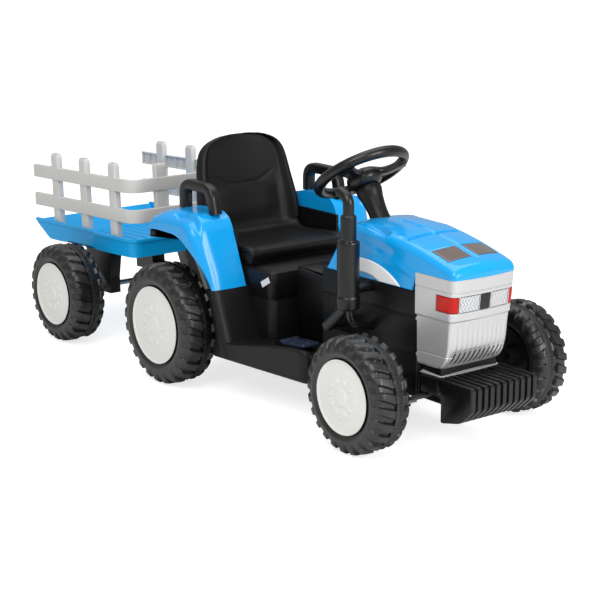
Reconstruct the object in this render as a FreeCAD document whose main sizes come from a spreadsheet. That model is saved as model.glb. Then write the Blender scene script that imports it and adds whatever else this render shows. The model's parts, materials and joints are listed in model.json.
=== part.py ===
"""Ride-on tractor with trailer: a battery driven toy of separate moulded and steel pieces.

+X is forward, +Y is the driver's left, +Z is up. The origin lies on the ground under the
middle of the whole train. Lengths are millimetres, angles degrees.
"""
import FreeCAD, Part
import math
import os
from types import SimpleNamespace

import Sketcher

Vector = FreeCAD.Vector

SIZES = (
    # The train as a whole
    ("front_overhang", 174, "front axle to the nose of the weight block"),
    ("wheelbase", 583, "front axle to rear axle"),
    ("trailer_reach", 421, "rear axle to trailer axle"),
    ("trailer_pitch", 2.6, "nose-up slope of the hitched trailer"),
    ("wall", 4, "wall of the moulded shells"),
    ("overrun", 5, "how far a cutting tool passes the face it cuts"),
    ("seat_gap", 0.2, "gap between pieces that rest on curved seats"),
    ("running_gap", 0.4, "gap between faces that pass each other"),
    ("fit", 0.08, "radial clearance of a shaft in its bore"),
    # Wheels
    ("front_radius", 112, "front and trailer tyre, over the lugs"),
    ("rear_radius", 128, "rear tyre, over the lugs"),
    ("front_bead", 70, "front and trailer rim seat radius"),
    ("rear_bead", 81, "rear rim seat radius"),
    ("tyre_width", 82, "all tyres"),
    ("front_track_face", 246, "outer face of the front wheels from the centre plane"),
    ("rear_track_face", 269, "outer face of rear and trailer wheels"),
    ("lug_height", 9, "tread lug above the carcass"),
    ("lug_root", 5, "lug sunk into the carcass"),
    ("lug_length", 13, "tread lug along the ground"),
    ("lug_slant", 15, "forward sweep of a lug from centre to shoulder"),
    ("lug_inset", 4, "lug end to the middle of the tread"),
    ("lug_edge", 3, "lug end to the sidewall"),
    ("shoulder_drop", 14, "bevel between tread and sidewall"),
    ("boss_radius", 17, "wheel hub boss"),
    ("web_depth", 16, "outer wheel face to the disc"),
    ("nut_radius", 10, "wheel nut"),
    ("nut_height", 8, "wheel nut"),
    ("nut_pocket", 13, "radius of the pocket for the wheel nut"),
    ("axle_radius", 6, "rear and trailer axle rods, stub axles"),
    # Steering gear
    ("kingpin_offset", 126, "kingpins from the centre plane"),
    ("kingpin_radius", 5, "kingpin shank"),
    ("kingpin_head", 8, "kingpin head radius"),
    ("kingpin_cap", 5, "kingpin head height"),
    ("beam_length_x", 24, "front axle beam, fore and aft"),
    ("beam_height", 20, "front axle beam"),
    ("beam_boss_radius", 14, "kingpin boss of the beam"),
    ("beam_boss_height", 36, "kingpin boss of the beam"),
    ("ear_thickness", 8, "knuckle ears above and below the boss"),
    ("ear_radius", 13, "knuckle ears"),
    ("web_thickness", 8, "knuckle plate that joins the ears"),
    ("steer_arm", 48, "knuckle pin ahead of the kingpin"),
    ("arm_width", 14, "steering arm"),
    ("link_pin_radius", 4, "pins of the tie rod"),
    ("link_pin_height", 10, "knuckle pins above their arms"),
    ("link_slack_side", 1.1, "sideways play of the pins in the tie rod"),
    ("link_slack_fore", 4.5, "fore and aft play of the pins in the tie rod"),
    ("tie_thickness", 5, "tie rod plate"),
    ("tie_width", 12, "tie rod plate between its ends"),
    ("tie_rim", 6, "tie rod plate around its slots"),
    ("wheel_back", 236, "steering wheel centre behind the front axle"),
    ("wheel_high", 468, "steering wheel centre above ground"),
    ("column_tilt", 35, "column from the vertical"),
    ("wheel_ring", 100, "steering wheel outer radius"),
    ("wheel_tube", 11, "steering wheel rim thickness radius"),
    ("spoke_width", 24, "steering wheel spoke"),
    ("spoke_thickness", 9, "steering wheel spoke"),
    ("hub_radius", 30, "steering wheel hub"),
    ("hub_depth", 26, "steering wheel hub"),
    ("horn_radius", 16, "horn button"),
    ("horn_height", 10, "horn button"),
    ("horn_proud", 4, "horn button above the hub"),
    ("horn_travel", 3, "horn button"),
    ("shaft_radius", 6, "steering shaft"),
    ("shaft_length", 392, "wheel centre to the crank"),
    ("crank_length", 19.5, "steering shaft crank"),
    ("crank_thickness", 8, "crank arm"),
    ("crank_pin_below", 8.4, "crank pin below the tie rod"),
    ("crank_slot", 30, "fore and aft slot for the crank pin"),
    ("shroud_top", 30, "shroud top below the wheel centre, along the column"),
    ("shroud_length", 110, "shroud along the column"),
    ("shroud_neck", 19, "shroud radius at the top"),
    ("shroud_flare", 32, "shroud radius at the foot"),
    # Lower body
    ("body_bottom", 84, "lower edge of the body"),
    ("nose_top", 290, "top of the nose, where the bonnet rests"),
    ("nose_front", 80, "nose ahead of the front axle"),
    ("nose_step", 20, "where the grille starts, ahead of the front axle"),
    ("nose_back", 245, "nose behind the front axle"),
    ("nose_half_back", 92, "half width of the nose at its back"),
    ("nose_half_step", 79, "half width of the nose at the grille"),
    ("nose_half_front", 71.5, "half width of the nose inside the grille"),
    ("floor_top", 120, "footboard"),
    ("floor_front", 165, "footboard front edge behind the front axle"),
    ("floor_half_back", 217, "half width of the footboard at its back"),
    ("floor_half_front", 190, "half width of the footboard at its front"),
    ("tunnel_half", 60, "half width of the centre tunnel"),
    ("tunnel_top", 266, "centre tunnel"),
    ("box_front", 222, "seat box front ahead of the rear axle"),
    ("box_back", 84, "seat box back behind the rear axle"),
    ("box_half", 129, "half width of the seat box"),
    ("box_top", 260, "top of the seat box"),
    ("arch_wall_low", 240, "foot of the walls between the seat and the wheel arches"),
    ("hatch_length", 96, "battery hatch under the seat, fore and aft"),
    ("hatch_half", 84, "half width of the battery hatch"),
    ("pillar_top", 220, "top of the pillar, where the fender rests"),
    ("pillar_toe", 196, "front of the pillar foot ahead of the rear axle"),
    ("pillar_head", 146, "front of the pillar head ahead of the rear axle"),
    ("pillar_back", 138, "back of the pillar ahead of the rear axle"),
    ("pillar_back_top", 112, "back of the pillar head ahead of the rear axle"),
    ("fender_face", 235, "outer face of the fenders from the centre plane"),
    # Bonnet, grille and nose
    ("bonnet_front", 121, "bonnet front ahead of the front axle"),
    ("bonnet_back", 245, "bonnet loft start behind the front axle"),
    ("bonnet_peak", 387, "highest line of the bonnet shoulders"),
    ("bonnet_crown", 7, "crown of the bonnet above its shoulders"),
    ("bonnet_half_back", 94, "half width of the bonnet foot at its back"),
    ("bonnet_half_front", 77, "half width of the bonnet foot at its front"),
    ("bonnet_lean", 10, "shoulders inside the foot, at the back"),
    ("bonnet_shoulder", 12, "shoulder radius"),
    ("bonnet_rake_low", 230, "bonnet back edge at its foot, behind the front axle"),
    ("bonnet_rake_high", 175, "bonnet back edge at its top, behind the front axle"),
    ("dash_thickness", 5, "dash panel"),
    ("dash_inset", 2, "dash panel behind the bonnet edge"),
    ("grille_bottom", 152, "lower edge of the grille"),
    ("grille_top", 326, "upper edge of the grille"),
    ("grille_front_low", 99, "grille foot ahead of the front axle"),
    ("grille_half_low", 76, "half width of the grille foot"),
    ("grille_half_top", 78, "half width of the grille top"),
    ("lamp_bottom", 263, "lower edge of the lamp row"),
    ("lamp_height", 31, "lamp row"),
    ("lamp_inner", 13, "inner edge of a head lamp from the centre plane"),
    ("lamp_outer", 61, "outer edge of a head lamp from the centre plane"),
    ("lamp_depth", 3, "lens thickness"),
    ("corner_lamp_inner", 64, "inner edge of a corner lamp from the centre plane"),
    ("corner_lamp_length", 50, "corner lamp along the side"),
    ("slot_bottom", 158, "lower edge of the grille slots"),
    ("slot_height", 26, "grille slots"),
    ("slot_width", 6, "grille slots"),
    ("slot_pitch", 15, "grille slots"),
    ("weight_half", 83, "half width of the front weight"),
    ("weight_top", 138, "top of the front weight"),
    ("weight_shelf", 102, "underside of the shelf that hangs the weight"),
    ("weight_bottom", 54, "lowest edge of the front weight"),
    ("weight_back", 92, "weight back face ahead of the front axle"),
    ("weight_lip", 94, "lower front edge of the weight above ground"),
    ("weight_chin", 145, "front of the weight's underside ahead of the front axle"),
    ("weight_chin_high", 66, "front of the weight's underside above ground"),
    ("rib_depth", 5, "grooves between the weight plates"),
    ("rib_width", 9.5, "one weight plate"),
    # Fenders, handles, seat
    ("fender_inner", 136, "inner face of the fenders"),
    ("fender_back", 73, "fender tail behind the rear axle"),
    ("fender_tail_low", 292, "lower edge of the fender tail"),
    ("fender_tail_high", 346, "upper edge of the fender tail"),
    ("fender_top", 366, "top of the fenders"),
    ("fender_crest", 92, "front end of the fender top, ahead of the rear axle"),
    ("fender_arch", 322, "wheel arch above ground"),
    ("fender_apron", 10, "thickness of the fender's front apron"),
    ("handle_tube", 18, "grab handle, square tube"),
    ("handle_line", 164, "grab handles from the centre plane"),
    ("handle_back", 38, "handle foot behind the rear axle"),
    ("handle_front", 112, "handle foot ahead of the rear axle"),
    ("handle_high", 424, "top of the handles"),
    ("handle_top_front", 76, "front end of the handle's top bar"),
    ("seat_half", 126, "half width of the seat"),
    ("seat_front", 150, "cushion front ahead of the rear axle"),
    ("seat_back", 50, "seat back face behind the rear axle, at its foot"),
    ("seat_lean", 26, "top of the seat back behind its foot"),
    ("cushion_high", 298, "top of the cushion"),
    ("cushion_crown", 6, "cushion above its edge"),
    ("seat_high", 502, "top of the seat back"),
    ("seat_thick", 40, "thickness of the seat back"),
    # Exhaust
    ("stack_back", 105, "stack behind the front axle"),
    ("stack_side", 142, "stack from the centre plane"),
    ("stack_pipe", 9, "top pipe radius"),
    ("stack_sleeve", 14, "upper sleeve radius"),
    ("stack_muffler", 20, "lower sleeve radius"),
    ("stack_ring", 22.5, "foot ring radius"),
    ("stack_foot", 241, "foot of the stack above ground"),
    ("stack_ring_top", 266, "top of the foot ring"),
    ("stack_muffler_top", 372, "top of the lower sleeve"),
    ("stack_sleeve_top", 421, "top of the upper sleeve"),
    ("stack_top", 458, "middle of the rear-facing outlet"),
    ("stack_outlet", 26, "outlet behind the stack"),
    ("stack_arm", 9, "bracket arm radius"),
    ("stack_arm_high", 277, "upper bracket arm above ground"),
    ("strut_back", 60, "lower strut end behind the stack"),
    ("strut_low", 186, "lower strut end above ground"),
    # Drive
    ("gear_module", 1.5, "gearbox teeth"),
    ("gear_teeth", 48, "output gear"),
    ("pinion_teeth", 12, "motor pinion"),
    ("gear_width", 14, "output gear face"),
    ("backlash", 0.3, "thinning of each tooth at the pitch circle"),
    ("gearbox_clear", 3, "gear tips to the gearbox wall"),
    ("gearbox_wall", 3, "gearbox shell"),
    ("gearbox_width", 30, "gearbox across"),
    ("pinion_lift", 20, "slope from the axle to the motor"),
    ("sleeve_radius", 11, "sleeve of the output gear"),
    ("motor_radius", 18, "motor can"),
    ("motor_length", 57, "motor can"),
    ("motor_shaft", 2.5, "motor shaft radius"),
    ("battery_length", 151, "battery across"),
    ("battery_width", 65, "battery fore and aft"),
    ("battery_height", 94, "battery"),
    ("battery_front", 128, "battery front ahead of the rear axle"),
    ("tray_top", 152, "battery tray above ground"),
    ("tray_thickness", 3, "battery tray"),
    ("tray_back", 62, "battery tray back ahead of the rear axle"),
    ("control_length", 90, "control box across"),
    ("control_width", 30, "control box fore and aft"),
    ("control_height", 40, "control box"),
    # Driver's controls
    ("pedal_length", 74, "accelerator pedal"),
    ("pedal_width", 46, "accelerator pedal"),
    ("pedal_thickness", 6, "accelerator pedal"),
    ("pedal_heel", 264, "pedal hinge ahead of the rear axle"),
    ("pedal_line", 118, "pedal middle from the centre plane"),
    ("pedal_rise", 6, "slope of the pedal at rest"),
    ("pedal_pin_radius", 3, "pedal hinge pin"),
    ("pedal_pin_high", 6.5, "pedal hinge above the floor"),
    ("lug_plate", 5, "floor lugs that hold the pedal pin"),
    ("button_radius", 9, "power button"),
    ("button_height", 9, "power button"),
    ("button_line", 42, "power button from the centre plane"),
    ("button_proud", 4.5, "buttons above the dash"),
    ("rocker_length", 26, "direction rocker"),
    ("rocker_width", 15, "direction rocker"),
    ("rocker_depth", 9, "direction rocker"),
    ("rocker_gap", 0.9, "play at the ends of the tilting rocker"),
    ("rocker_pin_radius", 1.2, "pin of the direction rocker"),
    ("rocker_pin_reach", 4, "rocker pin into the dash at each side"),
    ("switch_drop", 42, "switches below the dash top, along the dash"),
    ("cover_width", 26, "charge socket cover"),
    ("cover_height", 12, "charge socket cover"),
    ("cover_thickness", 3, "charge socket cover"),
    ("cover_turn", -30, "charge socket cover, turned on its screw"),
    ("cover_front", 18, "cover middle behind the seat box front"),
    ("cover_high", 238, "cover middle above ground"),
    # Hitch and trailer, heights above the trailer axle
    ("tongue_width", 56, "tow tongue"),
    ("tongue_thickness", 8, "tow tongue"),
    ("tongue_high", 148, "top of the tow tongue above ground"),
    ("hitch_back", 30, "hitch pin behind the seat box"),
    ("hitch_radius", 6, "hitch pin"),
    ("hitch_head", 12, "hitch pin head"),
    ("hitch_play", 1.2, "radial play of the drawbar eye"),
    ("eye_radius", 20, "drawbar eye"),
    ("drawbar_width", 34, "drawbar"),
    ("drawbar_height", 18, "drawbar"),
    ("drawbar_lift", 1.6, "drawbar eye above the tow tongue"),
    ("bed_half", 165, "half width of the bed"),
    ("bed_bottom", 91, "underside of the bed"),
    ("bed_top", 133, "rim of the bed"),
    ("bed_front", 190, "bed front ahead of the trailer axle"),
    ("bed_tail", 243, "bed rim at the tail behind the trailer axle"),
    ("bed_tail_low", 186, "bed underside at the tail behind the trailer axle"),
    ("bed_corner", 46, "front corners of the bed"),
    ("bed_rib_height", 3, "lengthwise ribs of the bed floor"),
    ("bed_rib_width", 9, "lengthwise ribs of the bed floor"),
    ("bed_rib_pitch", 30, "lengthwise ribs of the bed floor"),
    ("fence_half", 157.5, "outer faces of the fence rails"),
    ("fence_front", 182, "fence front ahead of the trailer axle"),
    ("fence_tail", 253, "fence tail behind the trailer axle"),
    ("fence_corner", 40, "front corners of the fence"),
    ("rail_thickness", 9, "fence rail"),
    ("rail_height", 30, "fence rail"),
    ("rail_high", 264, "top of the upper rail"),
    ("rail_low", 196, "top of the lower rail"),
    ("post_width", 25, "fence post"),
    ("post_thickness", 15, "fence post"),
    ("post_high", 296, "fence post top"),
    ("post_first", 158, "rear post behind the trailer axle"),
    ("post_pitch", 127, "side posts"),
    ("front_post_line", 76, "front posts from the centre plane"),
    ("leg_half", 35, "trailer leg, half its length"),
    ("leg_inner", 108, "inner face of a trailer leg"),
    ("leg_outer", 134, "outer face of a trailer leg"),
    ("leg_bottom", 14, "trailer leg below the axle"),
    ("cross_height", 12, "cross beam of the trailer frame"),
)

document = FreeCAD.newDocument("RideOnTractor")
sheet = document.addObject("Spreadsheet::Sheet", "Sizes")


def formula_of(value):
    """The sheet formula behind a value, or the number itself."""
    return value.formula if isinstance(value, Size) else repr(float(value))


class Size(float):
    """A number that carries the sheet formula it comes from through sums and products."""

    def __new__(cls, value, formula):
        size = super().__new__(cls, value)
        size.formula = formula
        return size

    def __add__(self, other):
        return Size(float(self) + float(other), f"({self.formula} + {formula_of(other)})")

    def __sub__(self, other):
        return Size(float(self) - float(other), f"({self.formula} - {formula_of(other)})")

    def __mul__(self, other):
        return Size(float(self) * float(other), f"({self.formula} * {formula_of(other)})")

    def __truediv__(self, other):
        return Size(float(self) / float(other), f"({self.formula} / {formula_of(other)})")

    def __radd__(self, other):
        return Size(float(other) + float(self), f"({formula_of(other)} + {self.formula})")

    def __rsub__(self, other):
        return Size(float(other) - float(self), f"({formula_of(other)} - {self.formula})")

    def __rmul__(self, other):
        return Size(float(other) * float(self), f"({formula_of(other)} * {self.formula})")

    def __neg__(self):
        return Size(-float(self), f"(0 - {self.formula})")


def sine(angle):
    return Size(math.sin(math.radians(angle)), f"sin({formula_of(angle)})")


def cosine(angle):
    return Size(math.cos(math.radians(angle)), f"cos({formula_of(angle)})")


def fill_sheet():
    """Write the driving sizes into the sheet and hand them back by name."""
    named = {}
    for row, (alias, value, note) in enumerate(SIZES, 1):
        sheet.set(f"A{row}", alias)
        sheet.set(f"B{row}", str(value))
        sheet.setAlias(f"B{row}", alias)
        sheet.set(f"C{row}", note)
        named[alias] = Size(value, f"Sizes.{alias}")
    document.recompute()
    return SimpleNamespace(**named)


s = fill_sheet()

# Places that several pieces share
tail_reach = (s.fence_tail * cosine(s.trailer_pitch)
              + s.rail_high * sine(s.trailer_pitch))
train_length = s.front_overhang + s.wheelbase + s.trailer_reach + tail_reach
front_axle = train_length / 2 - s.front_overhang
rear_axle = front_axle - s.wheelbase
trailer_axle = rear_axle - s.trailer_reach
pitch_radius = s.gear_module * s.gear_teeth / 2
pinion_pitch_radius = s.gear_module * s.pinion_teeth / 2
gear_distance = pitch_radius + pinion_pitch_radius
motor_x = rear_axle + gear_distance * cosine(s.pinion_lift)
motor_z = s.rear_radius + gear_distance * sine(s.pinion_lift)
column_x = front_axle - s.wheel_back
tie_rod_low = s.front_radius - s.beam_boss_height / 2 + s.running_gap
hitch_x = rear_axle - s.box_back - s.hitch_back

sub_parts = []


def bind(piece, **sizes):
    """Bind properties of a piece to the formulas of the given sizes."""
    for name, value in sizes.items():
        setattr(piece, name, float(value))
        if isinstance(value, Size):
            piece.setExpression(name, value.formula)
    return piece


def place(piece, at=(0, 0, 0), axis=None, angle=0):
    """Put a piece at a point, turned about an axis, with both bound to the sheet."""
    turn = FreeCAD.Rotation(Vector(*axis), float(angle)) if axis else FreeCAD.Rotation()
    piece.Placement = FreeCAD.Placement(Vector(*[float(value) for value in at]), turn)
    for letter, value in zip("xyz", at):
        if isinstance(value, Size):
            piece.setExpression(f"Placement.Base.{letter}", value.formula)
    if isinstance(angle, Size):
        piece.setExpression("Placement.Rotation.Angle", angle.formula)
    return piece


def keep(label, piece):
    """Name a finished sub-part."""
    piece.Label = label
    sub_parts.append(piece)
    return piece


def block(low, high):
    """A box between two corners."""
    box = document.addObject("Part::Box", "Block")
    bind(box, Length=high[0] - low[0], Width=high[1] - low[1], Height=high[2] - low[2])
    return place(box, low)


def rod(radius, length, at, direction="z"):
    """A round rod from a point along one axis."""
    turns = {"z": (None, 0), "y": ((1, 0, 0), -90), "x": ((0, 1, 0), 90)}
    axis, angle = turns[direction]
    cylinder = document.addObject("Part::Cylinder", "Rod")
    bind(cylinder, Radius=radius, Height=length)
    return place(cylinder, at, axis, angle)


def wrapped(*pieces):
    """Pieces held together without being joined, so that they can be placed as one."""
    holder = document.addObject("Part::Compound", "Wrapped")
    holder.Links = list(pieces)
    return holder


def fuse(*pieces):
    joined = document.addObject("Part::MultiFuse", "Joined")
    joined.Shapes = list(pieces)
    joined.Refine = True
    return joined


def cut(base, *tools):
    tool = tools[0] if len(tools) == 1 else fuse(*tools)
    remains = document.addObject("Part::Cut", "Cut")
    remains.Base = base
    remains.Tool = tool
    return remains


def common(*pieces):
    shared = document.addObject("Part::MultiCommon", "Shared")
    shared.Shapes = list(pieces)
    return shared


def mirrored(piece):
    """The same piece on the other side of the centre plane."""
    twin = document.addObject("Part::Mirroring", "Mirrored")
    twin.Source = piece
    twin.Normal = Vector(0, 1, 0)
    return twin


def both_sides(stem, piece):
    """Keep a right-hand piece and its left-hand twin."""
    keep(f"{stem}_right", piece)
    keep(f"{stem}_left", mirrored(piece))


def outline_sketch(body, role, *loops):
    """A sketch on an origin plane whose corners are bound to the sheet."""
    sketch = body.newObject("Sketcher::SketchObject", "Outline")
    plane = next(item for item in body.Origin.OriginFeatures if item.Role == role)
    sketch.AttachmentSupport = [(plane, "")]
    sketch.MapMode = "FlatFace"
    for points in loops:
        first = sketch.GeometryCount
        count = len(points)
        for index in range(count):
            start, end = points[index], points[(index + 1) % count]
            sketch.addGeometry(Part.LineSegment(
                Vector(float(start[0]), float(start[1])), Vector(float(end[0]), float(end[1]))))
        for index in range(count):
            follower = first + (index + 1) % count
            sketch.addConstraint(Sketcher.Constraint("Coincident", first + index, 2, follower, 1))
        for index, point in enumerate(points):
            for kind, value in zip(("DistanceX", "DistanceY"), point):
                number = sketch.addConstraint(
                    Sketcher.Constraint(kind, -1, 1, first + index, 1, float(value)))
                if isinstance(value, Size):
                    sketch.setExpression(f"Constraints[{number}]", value.formula)
    return sketch


def prism(role, depth, *loops, centred=False):
    """An outline on an origin plane, padded towards +X, +Y or +Z, or to both sides."""
    body = document.addObject("PartDesign::Body", "Prism")
    pad = body.newObject("PartDesign::Pad", "Pad")
    pad.Profile = outline_sketch(body, role, *loops)
    bind(pad, Length=depth)
    pad.Midplane = centred
    pad.Reversed = role == "XZ_Plane"
    body.Tip = pad
    return body


def turned(points):
    """A profile of (radius, height) points turned about the Z axis."""
    body = document.addObject("PartDesign::Body", "Turned")
    sketch = outline_sketch(body, "XZ_Plane", points)
    revolution = body.newObject("PartDesign::Revolution", "Revolution")
    revolution.Profile = sketch
    revolution.ReferenceAxis = (sketch, ["V_Axis"])
    body.Tip = revolution
    return body


def axle_placed(piece, x, y, z, outward):
    """Stand a piece that was turned about Z on a wheel axis, its top facing outward."""
    return place(piece, (x, y, z), (1, 0, 0), 90 if outward < 0 else -90)


def rounded_block(low, high, radius, edges):
    """A box with some upright edges rounded: 1 and 3 at the back, 5 and 7 at the front."""
    rounded = document.addObject("Part::Fillet", "Rounded")
    rounded.Base = block(low, high)
    rounded.Edges = [(edge, float(radius), float(radius)) for edge in edges]
    return rounded


def tyre(radius, bead, x, outer_face):
    """A hollow tyre on a right-hand wheel: a C-shaped carcass with two rows of slanted lugs."""
    half = s.tyre_width / 2
    tread = radius - s.lug_height
    side = tread - s.shoulder_drop
    inner_half = half - s.wall
    carcass = turned((
        (bead, -half), (side, -half), (tread, s.shoulder_drop - half), (tread, half - s.shoulder_drop),
        (side, half), (bead, half), (bead, inner_half), (side - s.wall, inner_half),
        (tread - s.wall, half - s.shoulder_drop), (tread - s.wall, s.shoulder_drop - half),
        (side - s.wall, -inner_half), (bead, -inner_half)))
    reach = half - s.lug_edge
    lug = s.lug_length
    sweep = s.lug_slant
    rows = []
    for side_sign, offset in ((1, -lug / 2), (-1, lug / 2)):
        rows.append(((offset, side_sign * s.lug_inset), (offset + lug, side_sign * s.lug_inset),
                     (offset + lug + sweep, side_sign * reach), (offset + sweep, side_sign * reach)))
    sketch = outline_sketch(carcass, "YZ_Plane", *rows)
    sketch.setExpression("AttachmentOffset.Base.z", (tread - s.lug_root).formula)
    pad = carcass.newObject("PartDesign::Pad", "Lugs")
    pad.Profile = sketch
    bind(pad, Length=s.lug_root + s.lug_height)
    pattern = carcass.newObject("PartDesign::PolarPattern", "LugRing")
    pattern.Originals = [pad]
    axis = next(item for item in carcass.Origin.OriginFeatures if item.Role == "Z_Axis")
    pattern.Axis = (axis, [""])
    pattern.Angle = 360
    pattern.Occurrences = LUG_COUNT
    carcass.Tip = pattern
    envelope = rod(radius, s.tyre_width, (0, 0, -half))
    return axle_placed(common(carcass, envelope), x, half - outer_face, radius, -1)


LUG_COUNT = 24


def rim(radius, bead, x, outer_face):
    """A right-hand wheel disc with barrel, boss, bore and a pocket for the nut."""
    half = s.tyre_width / 2
    barrel = bead - s.wall
    web_top = half - s.web_depth
    web_low = web_top - s.wall
    bore = s.axle_radius + s.fit
    disc = turned((
        (bore, -half), (s.boss_radius, -half), (s.boss_radius, web_low), (barrel, web_low),
        (barrel, -half), (bead, -half), (bead, half), (barrel, half), (barrel, web_top),
        (s.boss_radius, web_top), (s.boss_radius, half), (s.nut_pocket, half),
        (s.nut_pocket, web_low), (bore, web_low)))
    return axle_placed(disc, x, half - outer_face, radius, -1)


def nut_start(outer_face):
    """Where the inner face of a wheel nut lies, from the centre plane."""
    return outer_face - s.web_depth - s.wall + s.running_gap


def wheel_nut(x, z, outer_face):
    """A right-hand lock nut at the bottom of the wheel's pocket, with its bore on the axle."""
    start = nut_start(outer_face)
    hull = rod(s.nut_radius, s.nut_height, (x, -start - s.nut_height, z), "y")
    return cut(hull, rod(s.axle_radius, s.nut_height + s.overrun,
                         (x, -start - s.nut_height - s.overrun / 2, z), "y"))


def make_wheels():
    stations = (("front", s.front_radius, s.front_bead, front_axle, s.front_track_face),
                ("rear", s.rear_radius, s.rear_bead, rear_axle, s.rear_track_face),
                ("trailer", s.front_radius, s.front_bead, trailer_axle, s.rear_track_face))
    for stem, radius, bead, x, face in stations:
        both_sides(f"{stem}_tyre", tyre(radius, bead, x, face))
        both_sides(f"{stem}_rim", rim(radius, bead, x, face))
        nut = wheel_nut(x, radius, face)
        if stem == "front":
            both_sides("front_wheel_nut", nut)
        else:
            keep(f"{stem}_wheel_nuts", pair_of(nut))


def pair_of(piece):
    """A right-hand piece and its twin in one node."""
    return wrapped(piece, mirrored(piece))


def make_axles():
    """Steel rods that carry the rear and trailer wheels from nut to nut."""
    reach = nut_start(s.rear_track_face) + s.nut_height
    keep("rear_axle", rod(s.axle_radius, reach * 2, (rear_axle, -reach, s.rear_radius), "y"))
    keep("trailer_axle", rod(s.axle_radius, reach * 2, (trailer_axle, -reach, s.front_radius), "y"))


def make_front_axle():
    """The fixed front beam with upright bosses, and the kingpins through them."""
    half_x = s.beam_length_x / 2
    half_z = s.beam_height / 2
    axle_z = s.front_radius
    boss_low = axle_z - s.beam_boss_height / 2
    beam = block((front_axle - half_x, -s.kingpin_offset, axle_z - half_z),
                 (front_axle + half_x, s.kingpin_offset, axle_z + half_z))
    bosses = []
    bores = []
    pins = []
    ear = s.ear_thickness + s.running_gap
    for side in (-1, 1):
        y = side * s.kingpin_offset
        bosses.append(rod(s.beam_boss_radius, s.beam_boss_height, (front_axle, y, boss_low)))
        bores.append(rod(s.kingpin_radius, s.beam_boss_height + s.overrun * 2,
                         (front_axle, y, boss_low - s.overrun)))
        shank = rod(s.kingpin_radius, s.beam_boss_height + ear * 2 + s.running_gap,
                    (front_axle, y, boss_low - ear))
        head = rod(s.kingpin_head, s.kingpin_cap,
                   (front_axle, y, boss_low + s.beam_boss_height + ear + s.running_gap))
        pins.append(fuse(shank, head))
    keep("front_axle_beam", cut(fuse(beam, *bosses), *bores))
    keep("kingpins", wrapped(*pins))


def make_knuckles():
    """A fork round the beam boss, with the stub axle outward and the steering arm forward."""
    axle_z = s.front_radius
    y = -s.kingpin_offset
    low = axle_z - s.beam_boss_height / 2 - s.running_gap - s.ear_thickness
    high = axle_z + s.beam_boss_height / 2 + s.running_gap
    web_inner = y - s.beam_boss_radius - s.running_gap
    web_outer = web_inner - s.web_thickness
    ears = []
    for z in (low, high):
        ears.append(rod(s.ear_radius, s.ear_thickness, (front_axle, y, z)))
        ears.append(block((front_axle - s.ear_radius, web_outer, z),
                          (front_axle + s.ear_radius, y, z + s.ear_thickness)))
    web = block((front_axle - s.ear_radius, web_outer, low),
                (front_axle + s.ear_radius, web_inner, high + s.ear_thickness))
    rim_back = s.front_track_face - s.tyre_width
    collar_length = rim_back + web_outer - s.running_gap
    collar = rod(s.boss_radius * COLLAR_SHARE, collar_length,
                 (front_axle, s.running_gap - rim_back, axle_z), "y")
    tip = nut_start(s.front_track_face) + s.nut_height
    stub = rod(s.axle_radius, tip + web_outer, (front_axle, -tip, axle_z), "y")
    arm = block((front_axle, y - s.arm_width / 2, low),
                (front_axle + s.steer_arm, y + s.arm_width / 2, low + s.ear_thickness))
    pin = rod(s.link_pin_radius, s.ear_thickness + s.link_pin_height,
              (front_axle + s.steer_arm, y, low))
    arm_end = rod(s.arm_width / 2, s.ear_thickness, (front_axle + s.steer_arm, y, low))
    whole = fuse(*ears, web, collar, stub, arm, arm_end, pin)
    bore = rod(s.kingpin_radius + s.fit, s.beam_boss_height * 2, (front_axle, y, low - s.overrun))
    both_sides("knuckle", cut(whole, bore))


COLLAR_SHARE = 0.6


def make_tie_rod():
    """A steel strip with a slot for each knuckle pin and one for the steering crank."""
    low = tie_rod_low
    x = front_axle + s.steer_arm
    half_x = s.link_pin_radius + s.link_slack_fore
    half_y = s.link_pin_radius + s.link_slack_side
    bar = block((x - s.tie_width / 2, -s.kingpin_offset, low),
                (x + s.tie_width / 2, s.kingpin_offset, low + s.tie_thickness))
    plates = []
    slots = []
    crank_half = s.crank_slot / 2
    for y, reach in ((-s.kingpin_offset, half_x), (0, crank_half), (s.kingpin_offset, half_x)):
        rim_x = reach + s.tie_rim
        rim_y = half_y + s.tie_rim
        plates.append(block((x - rim_x, y - rim_y, low), (x + rim_x, y + rim_y, low + s.tie_thickness)))
        slots.append(block((x - reach, y - half_y, low - s.overrun),
                           (x + reach, y + half_y, low + s.tie_thickness + s.overrun)))
    keep("tie_rod", cut(fuse(bar, *plates), *slots))


def column_placed(piece):
    """Put a piece made about the Z axis onto the steering column, up towards the driver."""
    return place(piece, (column_x, 0, s.wheel_high), (0, 1, 0), -s.column_tilt)


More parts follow.
